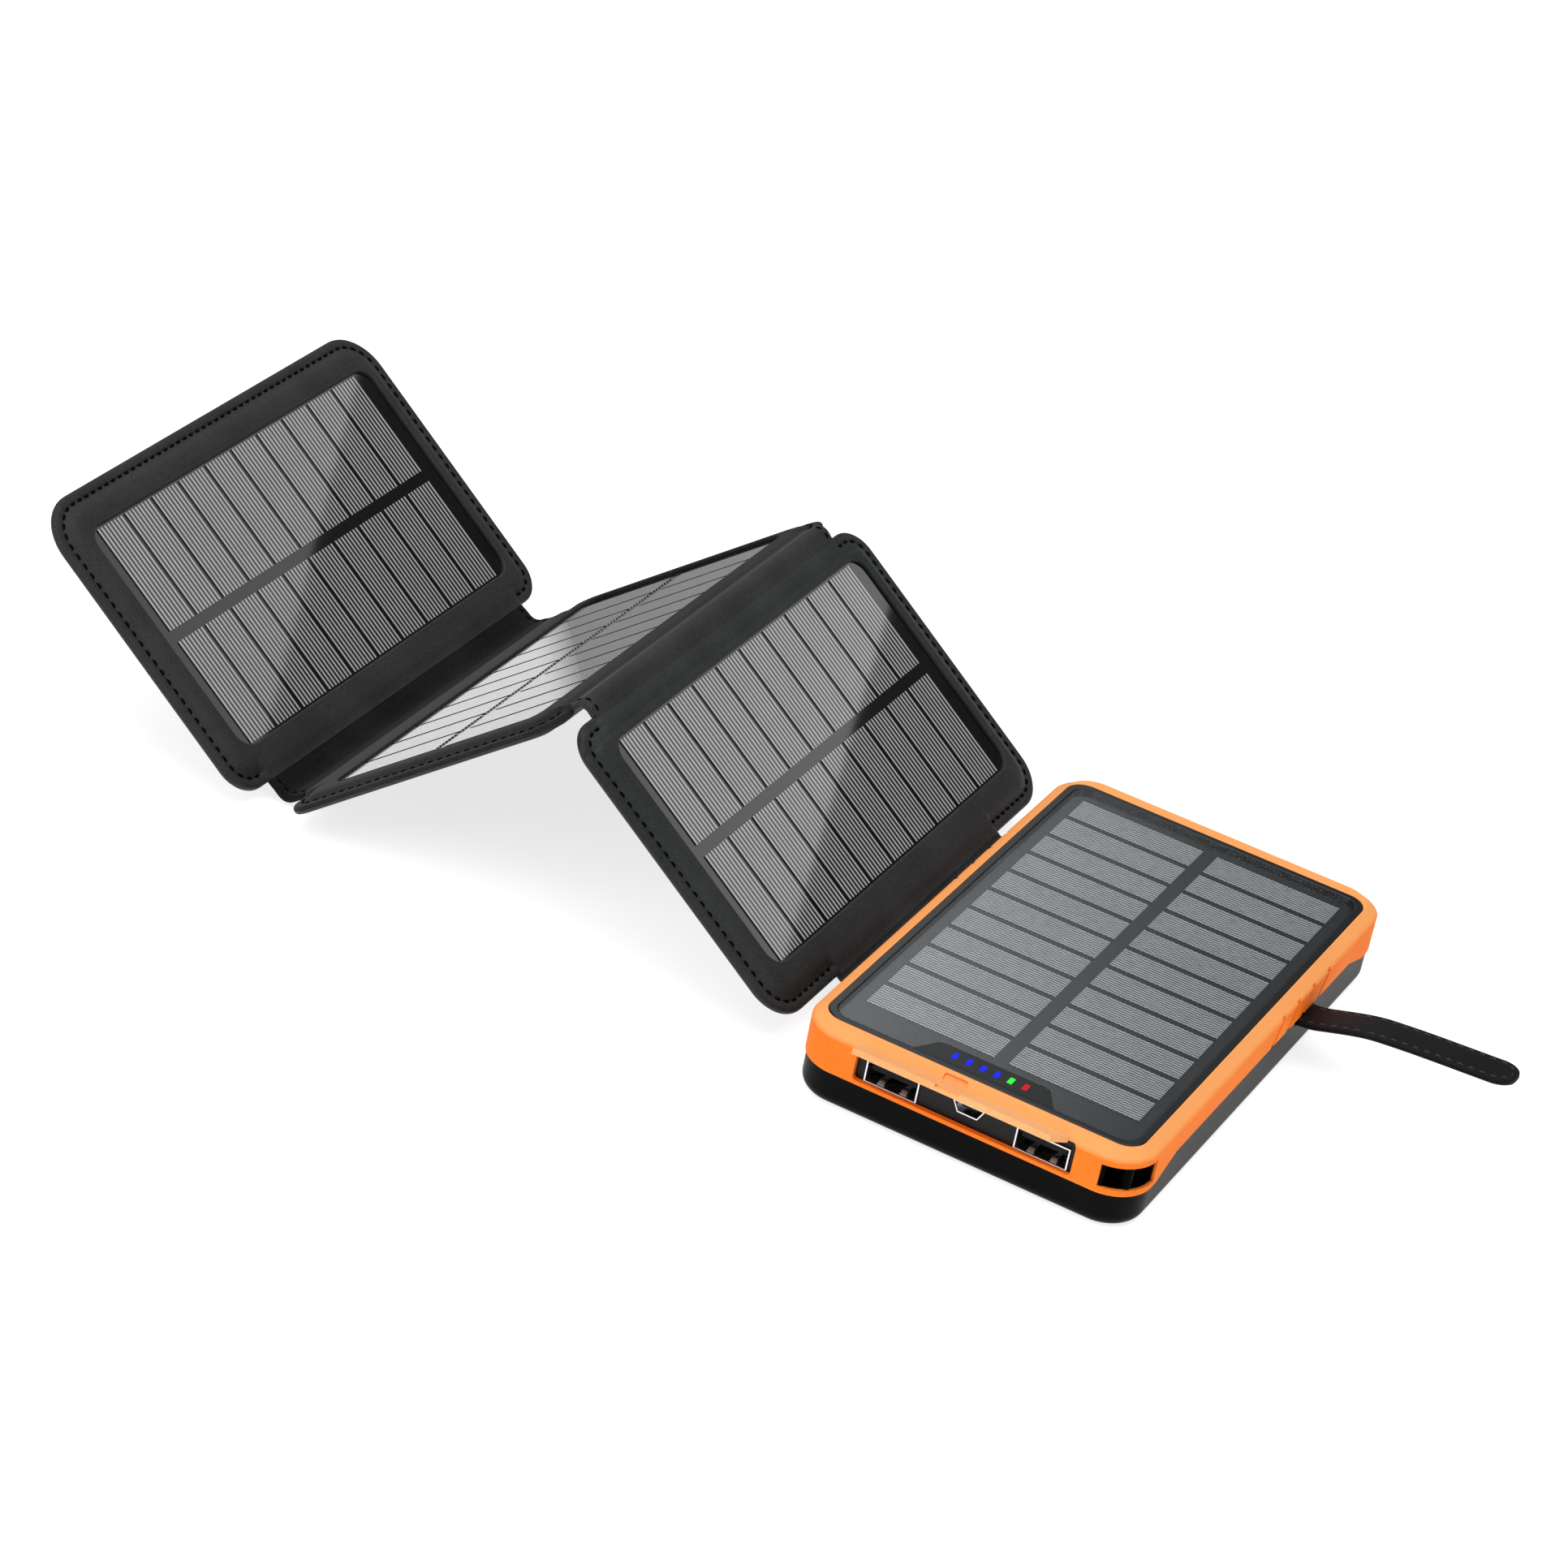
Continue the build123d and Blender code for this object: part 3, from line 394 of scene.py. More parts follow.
CARRIED = {
    "upper_shell": M_ORANGE, "lower_shell": M_BLACK, "deck_bezel": M_BEZEL, "deck_board": M_DECKLAM,
    "deck_cells": M_DECKCELL, "deck_glass": M_GLASS, "led_window": M_LEDWIN, "led_blue": M_BLUE,
    "led_green": M_GREEN, "led_red": M_RED, "port_panel": M_PORT, "lanyard_insert": M_LANYARD,
    "usb_a_left": M_STEEL, "usb_a_right": M_STEEL, "micro_usb": M_STEEL, "usb_a_left_tongue": M_TONGUE,
    "usb_a_right_tongue": M_TONGUE, "micro_usb_tongue": M_PORT, "port_cover": M_FLAP_PAINTED_LIGHT, "main_board": M_BOARD,
    "board_components": M_CHIP, "button_switch": M_CHIP, "power_button": M_BUTTON, "case_screws": M_SCREW,
    "hinge_clamp_bar": M_CLAMP, "strap_clamp_bar": M_CLAMP, "battery_foam": M_FOAM,
    "battery_left_lower": M_FOIL, "battery_right_lower": M_FOIL, "battery_left_upper": M_FOIL,
    "battery_right_upper": M_FOIL, "panel_magnet": M_MAGNET, "strap_magnet": M_MAGNET,
}
for k in (1, 2, 3):
    CARRIED[f"panel_{k}_solar_board"] = M_LAM
    CARRIED[f"panel_{k}_cells"] = M_CELL
    CARRIED[f"panel_{k}_stiffener"] = M_STIFF
    CARRIED[f"panel_{k}_ribbon_lead"] = M_RIBBON
    CARRIED[f"panel_{k}_padding"] = M_FOAM
for name, obj in N.items():
    obj.data.materials.clear()
    obj.data.materials.append(CARRIED.get(name, M_LEATHER))


# ------------------------------------------------------------------ mesh helpers
def mesh(name, verts, faces, mat, sharp=38.0):
    me = bpy.data.meshes.new(name)
    me.from_pydata((np.asarray(verts, float) * MM).tolist(), [], [tuple(int(i) for i in f) for f in faces])
    me.validate()
    me.materials.append(mat)
    me.polygons.foreach_set("use_smooth", [True] * len(me.polygons))
    me.set_sharp_from_angle(angle=math.radians(sharp))
    o = bpy.data.objects.new(name, me)
    sc.collection.objects.link(o)
    return o


def loops(rows, cols, row_closed, col_closed, base=0):
    """Quads of a rows x cols grid of vertices."""
    r = np.arange(rows if row_closed else rows - 1)
    c = np.arange(cols if col_closed else cols - 1)
    i, j = np.meshgrid(r, c, indexing="ij")
    a = i * cols + j
    b = i * cols + (j + 1) % cols
    d = ((i + 1) % rows) * cols + j
    e = ((i + 1) % rows) * cols + (j + 1) % cols
    return (np.stack([a, b, e, d], -1).reshape(-1, 4) + base).tolist()


def outward(o):
    import bmesh

    bm = bmesh.new()
    bm.from_mesh(o.data)
    bmesh.ops.recalc_face_normals(bm, faces=bm.faces)
    bm.to_mesh(o.data)
    bm.free()
    o.data.set_sharp_from_angle(angle=math.radians(38.0))
    return o


MC = 12          # points on each corner arc
STEP = 0.85      # spacing along the straight sides


def counts(s0, s1, y0, y1, r0, r1):
    return max(8, round((s1 - s0 - r0 - r1) / STEP)), max(8, round((y1 - y0 - 2 * max(r0, r1)) / STEP))


def ring(s0, s1, y0, y1, r0, r1, inset, ns, ny):
    """Rounded outline as (s, y), going front side, far corner, far side, far corner, back side, near corner, near side, near corner."""
    a, b, c, d = s0 + inset, s1 - inset, y0 + inset, y1 - inset
    q0, q1 = max(r0 - inset, 0.7), max(r1 - inset, 0.7)
    pts = []

    def side(p, q, n):
        for i in range(n):
            f = i / n
            pts.append((p[0] + (q[0] - p[0]) * f, p[1] + (q[1] - p[1]) * f))

    def arc(cx, cy, r, g0):
        for i in range(MC):
            g = math.radians(g0 + 90 * i / MC)
            pts.append((cx + r * math.cos(g), cy + r * math.sin(g)))

    side((a + q0, c), (b - q1, c), ns)
    arc(b - q1, c + q1, q1, -90)
    side((b, c + q1), (b, d - q1), ny)
    arc(b - q1, d - q1, q1, 0)
    side((b - q1, d), (a + q0, d), ns)
    arc(a + q0, d - q0, q0, 90)
    side((a, d - q0), (a, c + q0), ny)
    arc(a + q0, c + q0, q0, 180)
    return np.array(pts)


def labels(ns, ny):
    """0 front, 1 far, 2 back, 3 near side, -1 corners."""
    return np.array([0] * ns + [-1] * MC + [1] * ny + [-1] * MC + [2] * ns + [-1] * MC + [3] * ny + [-1] * MC)


def within(y, span):
    return sstep(y, span[0] - 0.3, span[0] + 0.9) * (1 - sstep(y, span[1] - 0.9, span[1] + 0.3))


# inset and height of the front skin: at a stitched edge, and where it runs on into a hinge
FRONT = [
    ((0.00, -2.08), (0.00, -1.13)), ((0.03, -1.78), (0.00, -0.75)), ((0.14, -1.48), (0.00, -0.30)),
    ((0.40, -1.22), (0.35, -0.31)), ((0.85, -1.12), (0.85, -0.31)), ((1.50, -1.08), (1.50, -0.26)),
    ((2.10, -1.09), (2.10, -0.18)), ((2.42, -1.18), (2.42, -0.13)), ((2.65, -1.26), (2.65, -0.10)),
    ((2.88, -1.18), (2.88, -0.07)), ((3.20, -1.05), (3.20, -0.04)), ((3.80, -0.80), (3.80, -0.01)),
    ((4.50, -0.45), (4.50, 0.0)), ((5.20, -0.19), (5.20, 0.0)),
]
BACK = [
    ((0.00, -2.12), (0.00, -1.17)), ((0.03, -2.42), (0.00, -1.60)), ((0.14, -2.72), (0.00, -2.00)),
    ((0.40, -2.98), (0.35, -1.99)), ((0.85, -3.08), (0.85, -2.03)), ((1.50, -3.12), (1.50, -2.28)),
    ((2.10, -3.11), (2.10, -2.72)), ((2.42, -3.02), (2.42, -2.98)), ((2.65, -2.94), (2.65, -3.15)),
    ((2.88, -3.02), (2.88, -3.32)), ((3.20, -3.15), (3.20, -3.55)), ((3.80, -3.40), (3.80, -3.86)),
    ((4.50, -3.75), (4.50, -4.08)), ((5.20, -4.00), (5.20, -4.17)), ((6.20, -4.16), (6.20, -4.20)),
]


def hinge_share(k, lab, pts):
    h = np.zeros(len(pts))
    far = {1: BAND, 2: BAND, 3: None}[k]
    near = {1: FLAP, 2: BAND, 3: BAND}[k]
    if far:
        h = np.where(lab == 1, within(pts[:, 1], far), h)
    h = np.where(lab == 3, within(pts[:, 1], near), h)
    return h


def panel_leather(k):
    s0, s1 = SPAN[k]
    r0, r1 = RADII[k]
    ns, ny = counts(s0, s1, Y0, Y1, r0, r1)
    lab = labels(ns, ny)
    outer = ring(s0, s1, Y0, Y1, r0, r1, 0, ns, ny)
    h = hinge_share(k, lab, outer)
    seg = np.linalg.norm(np.roll(outer, -1, 0) - outer, axis=1)
    arc = np.concatenate([[0], np.cumsum(seg)[:-1]])
    total = seg.sum()
    pull = 0.5 - 0.5 * np.cos(2 * np.pi * arc / (total / round(total / 2.75)))    # the thread draws the edge in, stitch by stitch
    fold = 0.5 + 0.5 * np.sin(arc * 0.11 + k) * np.sin(arc * 0.043 + 2.0 * k)    # slow unevenness of the padding

    def at_inset(d):
        return ring(s0, s1, Y0, Y1, r0, r1, d, ns, ny)

    def row(edge, hinge, sign):
        pe, ph = at_inset(edge[0]), at_inset(hinge[0])
        xy = pe + (ph - pe) * h[:, None]
        n = edge[1] + (hinge[1] - edge[1]) * h
        near_stitch = math.exp(-((edge[0] - 2.65) / 0.55) ** 2)
        n = n - sign * 0.09 * near_stitch * pull * (1 - h)
        soft = float(sstep(edge[0], 2.9, 4.2)) * (1 - float(sstep(edge[0], 4.8, 6.5)))
        n = n - sign * 0.10 * soft * fold * (1 - h)
        return at(k, xy[:, 0], xy[:, 1], n)

    wx = WIN_S[k]

    def window(grow):
        return ring(wx - 31.25, wx + 31.25, WIN_Y[0], WIN_Y[1], 4.5, 4.5, -grow, ns, ny)

    def wrow(grow, n):
        p = window(grow)
        return at(k, p[:, 0], p[:, 1], n)

    rows = [row(e, f, 1) for e, f in FRONT]
    a, b = at_inset(5.2), window(1.6)
    for f, n in ((0.35, -0.07), (0.7, -0.01)):
        p = a + (b - a) * f
        rows.append(at(k, p[:, 0], p[:, 1], n + (0.0 - n) * h))
    for grow, n in ((1.6, 0.0), (1.25, -0.05), (0.95, -0.06), (0.62, -0.02), (0.36, -0.07), (0.16, -0.2), (0.03, -0.45), (0.0, -0.88), (2.0, -0.9)):
        rows.append(wrow(grow, n))
    p = at_inset(4.3)
    rows.append(at(k, p[:, 0], p[:, 1], -0.9))
    p = at_inset(4.22)
    rows.append(at(k, p[:, 0], p[:, 1], -2.06 + (0.95) * h))
    v = np.array(rows)
    # panels 1 and 2 take painted-shade copies of the leather
    front = mesh(f"panel_{k}_front_leather", v.reshape(-1, 3), loops(v.shape[0], v.shape[1], True, True), {1: M_LEATHER_1_SHADE, 2: M_INNER_SHADE, 3: M_LEATHER}[k])
    outward(front)
    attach(front, f"panel_{k}")
    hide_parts(f"panel_{k}_front_cover", f"panel_{k}_padding")

    rows = [row(e, f, -1) for e, f in BACK]
    for d in (7.6, 10.0, 15.0, 22.0, 30.0):
        p = at_inset(d)
        rows.append(at(k, p[:, 0], p[:, 1], -4.2))
    for d, n in ((30.0, -3.32), (4.5, -3.32)):
        p = at_inset(d)
        rows.append(at(k, p[:, 0], p[:, 1], n))
    p = at_inset(4.3)
    rows.append(at(k, p[:, 0], p[:, 1], -2.14 + 0.95 * h))
    v = np.array(rows)
    nr, nc = v.shape[:2]
    faces = loops(nr, nc, True, True)
    cap = len(BACK) + 4          # the d = 30 ring outside; the one after it is inside
    faces = [f for f in faces if not (cap * nc <= f[0] < (cap + 1) * nc)]
    faces.append([cap * nc + i for i in range(nc)])
    faces.append([(cap + 1) * nc + i for i in range(nc)][::-1])
    back = mesh(f"panel_{k}_back_leather", v.reshape(-1, 3), faces, M_LEATHER)
    outward(back)
    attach(back, f"panel_{k}")
    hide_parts(f"panel_{k}_back_cover")

    # stitches, front and back, wherever the edge is free
    line = at_inset(2.65)
    free = h < 0.3
    runs = []
    n = len(line)
    if free.all():
        runs.append(list(range(n)) + [0])
    else:
        startat = next(i for i in range(n) if free[i] and not free[i - 1])
        cur = []
        for q in range(n):
            i = (startat + q) % n
            if free[i]:
                cur.append(i)
            elif cur:
                runs.append(cur)
                cur = []
        if cur:
            runs.append(cur)
    verts, faces = [], []
    for run in runs:
        sy = line[run]
        for sign, base in ((1, -1.2), (-1, -3.0)):
            pts = at(k, sy[:, 0], sy[:, 1], base)
            up = np.array([normal(k)[0], 0, normal(k)[1]]) * sign
            add_stitches(verts, faces, pts, np.repeat(up[None], len(pts), 0))
    o = mesh(f"panel_{k}_stitching", verts, faces, M_THREAD)
    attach(o, f"panel_{k}")


def add_stitches(verts, faces, pts, ups, pitch=2.75, length=1.75, radius=0.36, rise=0.14, start=0.5):
    """Short bowed threads along a path, each a closed tube whose ends go down into their holes."""
    seg = np.linalg.norm(np.diff(pts, axis=0), axis=1)
    arc = np.concatenate([[0], np.cumsum(seg)])
    total = arc[-1]
    count = max(1, int(round(total / pitch)))
    p = total / count
    length = length * p / pitch
    for c in range(count):
        mid = (c + start) * p
        if mid - length / 2 < -0.01 or mid + length / 2 > total + 0.01:
            continue
        ts = np.linspace(-1, 1, 7)
        at_ = mid + ts * length / 2
        cen = np.stack([np.interp(at_, arc, pts[:, i]) for i in range(3)], -1)
        up = np.stack([np.interp(at_, arc, ups[:, i]) for i in range(3)], -1)
        up /= np.linalg.norm(up, axis=1)[:, None]
        tan = np.gradient(cen, axis=0)
        tan /= np.linalg.norm(tan, axis=1)[:, None]
        side = np.cross(tan, up)
        lift = rise * (1 - ts**2) - 0.12 * ts**4
        cen = cen + up * lift[:, None]
        fat = radius * np.sqrt(np.clip(1 - 0.75 * ts**4, 0.05, 1))
        b = len(verts)
        for i in range(7):
            for g in range(7):
                a = 2 * math.pi * g / 7
                verts.append(cen[i] + side[i] * fat[i] * math.cos(a) + up[i] * fat[i] * 0.75 * math.sin(a))
        faces.extend(loops(7, 7, False, True, b))
        faces.append([b + g for g in range(7)][::-1])
        faces.append([b + 42 + g for g in range(7)])


for k in (1, 2, 3):
    panel_leather(k)


# ------------------------------------------------------------------ hinge leathers
def bezier(a, c, b, n):
    t = np.linspace(0, 1, n)[:, None]
    return (1 - t) ** 2 * a + 2 * t * (1 - t) * c + t**2 * b


def xz(k, s, n):
    p = at(k, s, 0.0, n)
    return np.array([p[0], p[2]])


def resample(p, n):
    seg = np.linalg.norm(np.diff(p, axis=0), axis=1)
    a = np.concatenate([[0], np.cumsum(seg)])
    q = np.linspace(0, a[-1], n)
    return np.stack([np.interp(q, a, p[:, i]) for i in range(2)], -1)


def strip(name, front, back, span, node_name, stitch=True, tuck=None):
    """A leather strip: its front and back lines in XZ, swept along Y, with rounded, stitched ends."""
    nf = len(front)
    y0, y1 = span
    near = [0.0, 0.05, 0.18, 0.42, 0.85, 1.4, 1.9, 2.15, 2.4, 2.9, 3.4]
    ys = np.concatenate([y0 + np.array(near), np.linspace(y0 + 3.9, y1 - 3.9, int((y1 - y0) / 1.0)), (y1 - np.array(near))[::-1]])
    e = np.minimum(ys - y0, y1 - ys)
    pinch = np.interp(e, [0, 0.05, 0.18, 0.42, 0.85, 1.4], [0.94, 0.72, 0.42, 0.16, 0.04, 0.0])
    groove = 0.16 * np.exp(-(((e - 2.15) / 0.35) ** 2)) if stitch else np.zeros(len(ys))
    mid = (front + back) / 2
    rows = []
    for i in range(nf):
        d = (mid[i] - front[i]) / max(np.linalg.norm(mid[i] - front[i]), 1e-9)
        p = front[i][None] + (mid[i] - front[i])[None] * pinch[:, None] + d[None] * groove[:, None]
        rows.append(np.stack([p[:, 0], ys, p[:, 1]], -1))
    for i in reversed(range(nf)):
        d = (mid[i] - back[i]) / max(np.linalg.norm(mid[i] - back[i]), 1e-9)
        p = back[i][None] + (mid[i] - back[i])[None] * pinch[:, None] + d[None] * groove[:, None]
        rows.append(np.stack([p[:, 0], ys, p[:, 1]], -1))
    v = np.array(rows)
    nr, nc = v.shape[:2]
    faces = loops(nr, nc, True, False)
    for c in (0, nc - 1):
        for i in range(nf - 1):
            q = [i * nc + c, (i + 1) * nc + c, (nr - 2 - i) * nc + c, (nr - 1 - i) * nc + c]
            faces.append(q if c == 0 else q[::-1])
    # the valley and case strips take painted-shade copies of the leather
    o = mesh(name, v.reshape(-1, 3), faces, {"valley": M_VALLEY_SHADE, "case": M_CASE_SHADE}.get(name.split("_")[0], M_LEATHER))
    outward(o)
    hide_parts(node_name)
    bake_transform(o)
    if stitch:
        verts, fs = [], []
        for y in (y0 + 2.15, y1 - 2.15):
            for line, other in ((front, back), (back, front)):
                out = line - other
                out /= np.linalg.norm(out, axis=1)[:, None]
                base = line - out * 0.16
                pts = np.stack([base[:, 0], np.full(nf, y), base[:, 1]], -1)
                ups = np.stack([out[:, 0], np.zeros(nf), out[:, 1]], -1)
                add_stitches(verts, fs, pts, ups)
        st = mesh(name.replace("leather", "stitching"), verts, fs, M_THREAD)
        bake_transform(st)
    return o


# ridge: a soft groove where the stiff part of each panel ends, then the rounded crest
fr = [xz(1, 80.5, -0.30), xz(1, 80.9, -0.30), xz(1, 81.3, -0.24), xz(1, 81.8, -0.14), xz(1, 82.2, -0.08)]
crest = bezier(xz(1, 82.4, -0.06), (xz(1, 85.0, -0.1) + xz(2, 0.0, -0.1)) / 2, xz(2, 2.6, -0.06), 15)
fr = np.array(fr + list(crest) + [xz(2, 2.8, -0.08), xz(2, 3.2, -0.14), xz(2, 3.7, -0.24), xz(2, 4.1, -0.30), xz(2, 4.5, -0.30)])
under = bezier(xz(1, 82.2, -1.95), RIDGE - np.array([0, 1.95 / math.cos(math.radians(38))]), xz(2, 2.8, -1.95), 15)
bk = np.array([xz(1, 80.5, -2.0), xz(1, 81.2, -2.0)] + list(under) + [xz(2, 3.8, -2.0), xz(2, 4.5, -2.0)])
strip("ridge_hinge_leather", resample(fr, 31), resample(bk, 31), BAND, "ridge_leather")

# valley
fr = [xz(2, 86.6, -0.30), xz(2, 87.2, -0.30), xz(2, 87.9, -0.2), xz(2, 88.6, -0.08)]
crease = bezier(xz(2, 89.4, -0.02), VALLEY, xz(3, 2.6, -0.02), 15)
fr = np.array(fr + list(crease) + [xz(3, 3.4, -0.08), xz(3, 4.1, -0.2), xz(3, 4.8, -0.3), xz(3, 5.4, -0.3)])
under = bezier(xz(2, 90.4, -1.84), VALLEY - np.array([0, 1.84 / math.cos(math.radians(38.3))]), xz(3, 1.6, -1.84), 13)
bk = np.array([xz(2, 86.6, -2.0), xz(2, 87.4, -1.96), xz(2, 88.6, -1.86), xz(2, 89.6, -1.84)] + list(under)
              + [xz(3, 2.4, -1.84), xz(3, 3.4, -1.86), xz(3, 4.6, -1.96), xz(3, 5.4, -2.0)])
strip("valley_hinge_leather", resample(fr, 33), resample(bk, 33), BAND, "valley_leather")

# flap to the case: a shallow sag between panel 1 and the slot in the lower shell
fr = np.array([xz(1, 0, -0.30), xz(1, -0.4, -0.31), (-48.75, 8.25), (-48.2, 8.02), (-47.5, 8.08), (-46.7, 8.55), (-45.9, 9.2),
               (-45.0, 9.68), (-44.1, 9.87), (-43.0, 9.9), (-41.4, 9.9)])
bk = np.array([xz(1, 0, -2.00), xz(1, -0.5, -2.02), (-49.3, 6.75), (-48.4, 6.35), (-47.3, 6.3), (-46.3, 6.75), (-45.4, 7.4),
               (-44.7, 7.9), (-44.0, 8.06), (-43.0, 8.1), (-41.4, 8.1)])


def smooth(p, rounds=3):
    for _ in range(rounds):
        q = [p[0]]
        for a, b in zip(p[:-1], p[1:]):
            q += [a * 0.75 + b * 0.25, a * 0.25 + b * 0.75]
        p = np.array(q + [p[-1]])
    return p


strip("case_hinge_leather", resample(smooth(fr), 27), resample(smooth(bk), 27), FLAP, "case_leather", stitch=False)


# ------------------------------------------------------------------ closure strap
SY0, SY1 = 19.7, 29.9
SYC, SHALF = (SY0 + SY1) / 2, (SY1 - SY0) / 2
knots = np.array([(40.4, 10.4), (42.6, 10.4), (45.6, 10.7), (49.5, 11.9), (54.5, 13.4), (59.5, 14.6), (65.0, 15.15), (70.1, 15.58),
                  (76.0, 15.97), (83.0, 16.37), (89.0, 16.73), (94.2, 17.08)])
line = smooth(knots, 3)
seg = np.linalg.norm(np.diff(line, axis=0), axis=1)
run = np.concatenate([[0], np.cumsum(seg)])
LENGTH = run[-1]


def along(a):
    p = np.stack([np.interp(a, run, line[:, i]) for i in range(2)], -1)
    e = 0.4
    q = np.stack([np.interp(np.clip(np.asarray(a) + e, 0, LENGTH), run, line[:, i]) - np.interp(np.clip(np.asarray(a) - e, 0, LENGTH), run, line[:, i]) for i in range(2)], -1)
    q /= np.linalg.norm(q, axis=-1)[..., None]
    return p, np.stack([-q[..., 1], q[..., 0]], -1)


def half_width(a):
    """Half width of the strap: straight sides, then a round tip."""
    over = np.clip(a - (LENGTH - SHALF), 0, SHALF)
    return np.sqrt(np.clip(SHALF**2 - over**2, 0.0, None))


def strap_piece(name, a0, a1, tip, nodes_):
    ns = int((a1 - a0) / 0.8)
    stations = np.linspace(a0, a1, ns)
    if tip:
        stations = np.concatenate([np.linspace(a0, LENGTH - SHALF, ns)[:-1], LENGTH - SHALF + SHALF * np.sin(np.linspace(0, math.pi / 2 * 0.985, 22))])
    prof = [(0.0, 0.95), (0.06, 0.62), (0.2, 0.32), (0.45, 0.1), (0.8, 0.02), (1.2, 0.0), (1.5, 0.12), (1.8, 0.0), (2.6, -0.06), (4.0, -0.1)]
    rows = []
    for sgn in (1, -1):
        cols = [(d, pinch, 1) for d, pinch in prof] + [(d, pinch, -1) for d, pinch in reversed(prof)]
        if sgn < 0:
            cols = [(d, pinch, -s) for d, pinch, s in cols]
        for d, pinch, sd in cols:
            p, n = along(stations)
            hw = half_width(stations)
            frac = np.clip(d, 0, None) / SHALF
            yy = SYC - sd * sgn * (hw * (1 - frac))
            taper = 0.75 * (1 - pinch)
            taper = taper * np.where(tip, np.clip(np.sqrt(np.clip((LENGTH - stations) / 0.5, 0.02, 1)), 0, 1), 1.0)
            q = p + n * (sgn * taper)[:, None] if hasattr(taper, "__len__") else p + n * sgn * taper
            rows.append(np.stack([q[:, 0], yy, q[:, 1]], -1))
    v = np.array(rows)
    nr, nc = v.shape[:2]
    faces = loops(nr, nc, True, False)
    faces.append([i * nc for i in range(nr)])
    faces.append([i * nc + nc - 1 for i in range(nr)][::-1])
    o = mesh(name, v.reshape(-1, 3), faces, M_STRAP)
    outward(o)
    if nodes_:
        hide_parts(*nodes_)
    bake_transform(o)
    verts, fs = [], []
    inset = 1.5
    for sgn in (1, -1):
        if tip:
            st = np.concatenate([np.linspace(a0 + 0.4, LENGTH - SHALF, 60), LENGTH - SHALF + (SHALF - inset) * np.sin(np.linspace(0.02, math.pi / 2, 24))])
            hw = np.where(st > LENGTH - SHALF, np.sqrt(np.clip((SHALF - inset) ** 2 - np.clip(st - (LENGTH - SHALF), 0, None) ** 2, 0, None)), SHALF - inset)
            st2, hw2 = np.concatenate([st, st[::-1][1:]]), np.concatenate([hw, -hw[::-1][1:]])
            paths = [(st2, hw2)]
        else:
            st = np.linspace(a0 + 0.4, a1 - 0.4, 60)
            paths = [(st, np.full(60, SHALF - inset)), (st, np.full(60, -(SHALF - inset)))]
        for st, hw in paths:
            p, n = along(st)
            q = p + n * sgn * 0.62
            add_stitches(verts, fs, np.stack([q[:, 0], SYC - hw, q[:, 1]], -1), np.stack([n[:, 0] * sgn, np.zeros(len(st)), n[:, 1] * sgn], -1),
                         pitch=2.7, length=1.7, radius=0.2, rise=0.12)
    s = mesh(name.replace("leather", "stitching"), verts, fs, M_THREAD_STRAP)
    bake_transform(s)


half = float(np.interp(57.9, line[:, 0], run))
strap_piece("strap_root_leather", 0.0, half, False, ["strap_end", "strap_riser"])
strap_piece("strap_tip_leather", half, LENGTH, True, ["strap_tip"])


# ------------------------------------------------------------------ contact springs of the USB-A sockets
def springs(name, node_name):
    lo, hi = (np.array(c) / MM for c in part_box(node_name))
    verts, faces = [], []
    for dx in (-2.6, 3.0):
        xc, floor_z = (lo[0] + hi[0]) / 2 + dx, lo[2] + 0.37
        ys = np.linspace(lo[1] + 0.7, lo[1] + 5.2, 9)
        hs = np.interp(ys, [ys[0], lo[1] + 2.0, ys[-1]], [0.15, 1.0, 0.1])
        ws = np.interp(ys, [ys[0], ys[-1]], [0.95, 0.6])
        b = len(verts)
        for y, h, w in zip(ys, hs, ws):
            verts += [(xc - w, y, floor_z), (xc - w * 0.8, y, floor_z + h), (xc + w * 0.8, y, floor_z + h), (xc + w, y, floor_z)]
        faces += loops(9, 4, False, True, b)
        faces += [[b, b + 1, b + 2, b + 3], [b + 35, b + 34, b + 33, b + 32]]
    o = outward(mesh(name, verts, faces, M_SPRING, 30.0))
    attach(o, "power_bank")


springs("usb_left_springs", "usb_a_left")
springs("usb_right_springs", "usb_a_right")

# ------------------------------------------------------------------ camera
right = np.array([0.868631376, 0.464293402, 0.17294846])
up = np.array([-0.372327792, 0.381400716, 0.846111996])
back_ = np.array([0.326881551, -0.799352945, 0.504165966])
place = np.array([0.3059, -0.95941, 0.63299])
cam_data = bpy.data.cameras.new("camera")
cam = bpy.data.objects.new("camera", cam_data)
sc.collection.objects.link(cam)
m = np.eye(4)
m[:3, 0], m[:3, 1], m[:3, 2], m[:3, 3] = right, up, back_, place
cam.matrix_world = Matrix(m.tolist())
cam_data.sensor_width = 36.0
cam_data.lens = 118.052
cam_data.clip_start, cam_data.clip_end = 0.05, 30.0
sc.camera = cam

# ------------------------------------------------------------------ floor and light
fm = bpy.data.materials.new("floor")
fm.use_nodes = True
fb = fm.node_tree.nodes["Principled BSDF"]
fn = fm.node_tree.nodes.new("ShaderNodeTexNoise")
fn.inputs["Scale"].default_value = 3.0
fc = fm.node_tree.nodes.new("ShaderNodeValToRGB")
fc.color_ramp.elements[0].color = (0.60, 0.60, 0.60, 1)
fc.color_ramp.elements[1].color = (0.64, 0.64, 0.64, 1)
fm.node_tree.links.new(fn.outputs["Fac"], fc.inputs[0])
fm.node_tree.links.new(fc.outputs[0], fb.inputs["Base Color"])
fb.inputs["Roughness"].default_value = 0.95
fb.inputs["Emission Color"].default_value = (1, 1, 1, 1)
fb.inputs["Emission Strength"].default_value = 0.76
fb.inputs["Specular IOR Level"].default_value = 0.1
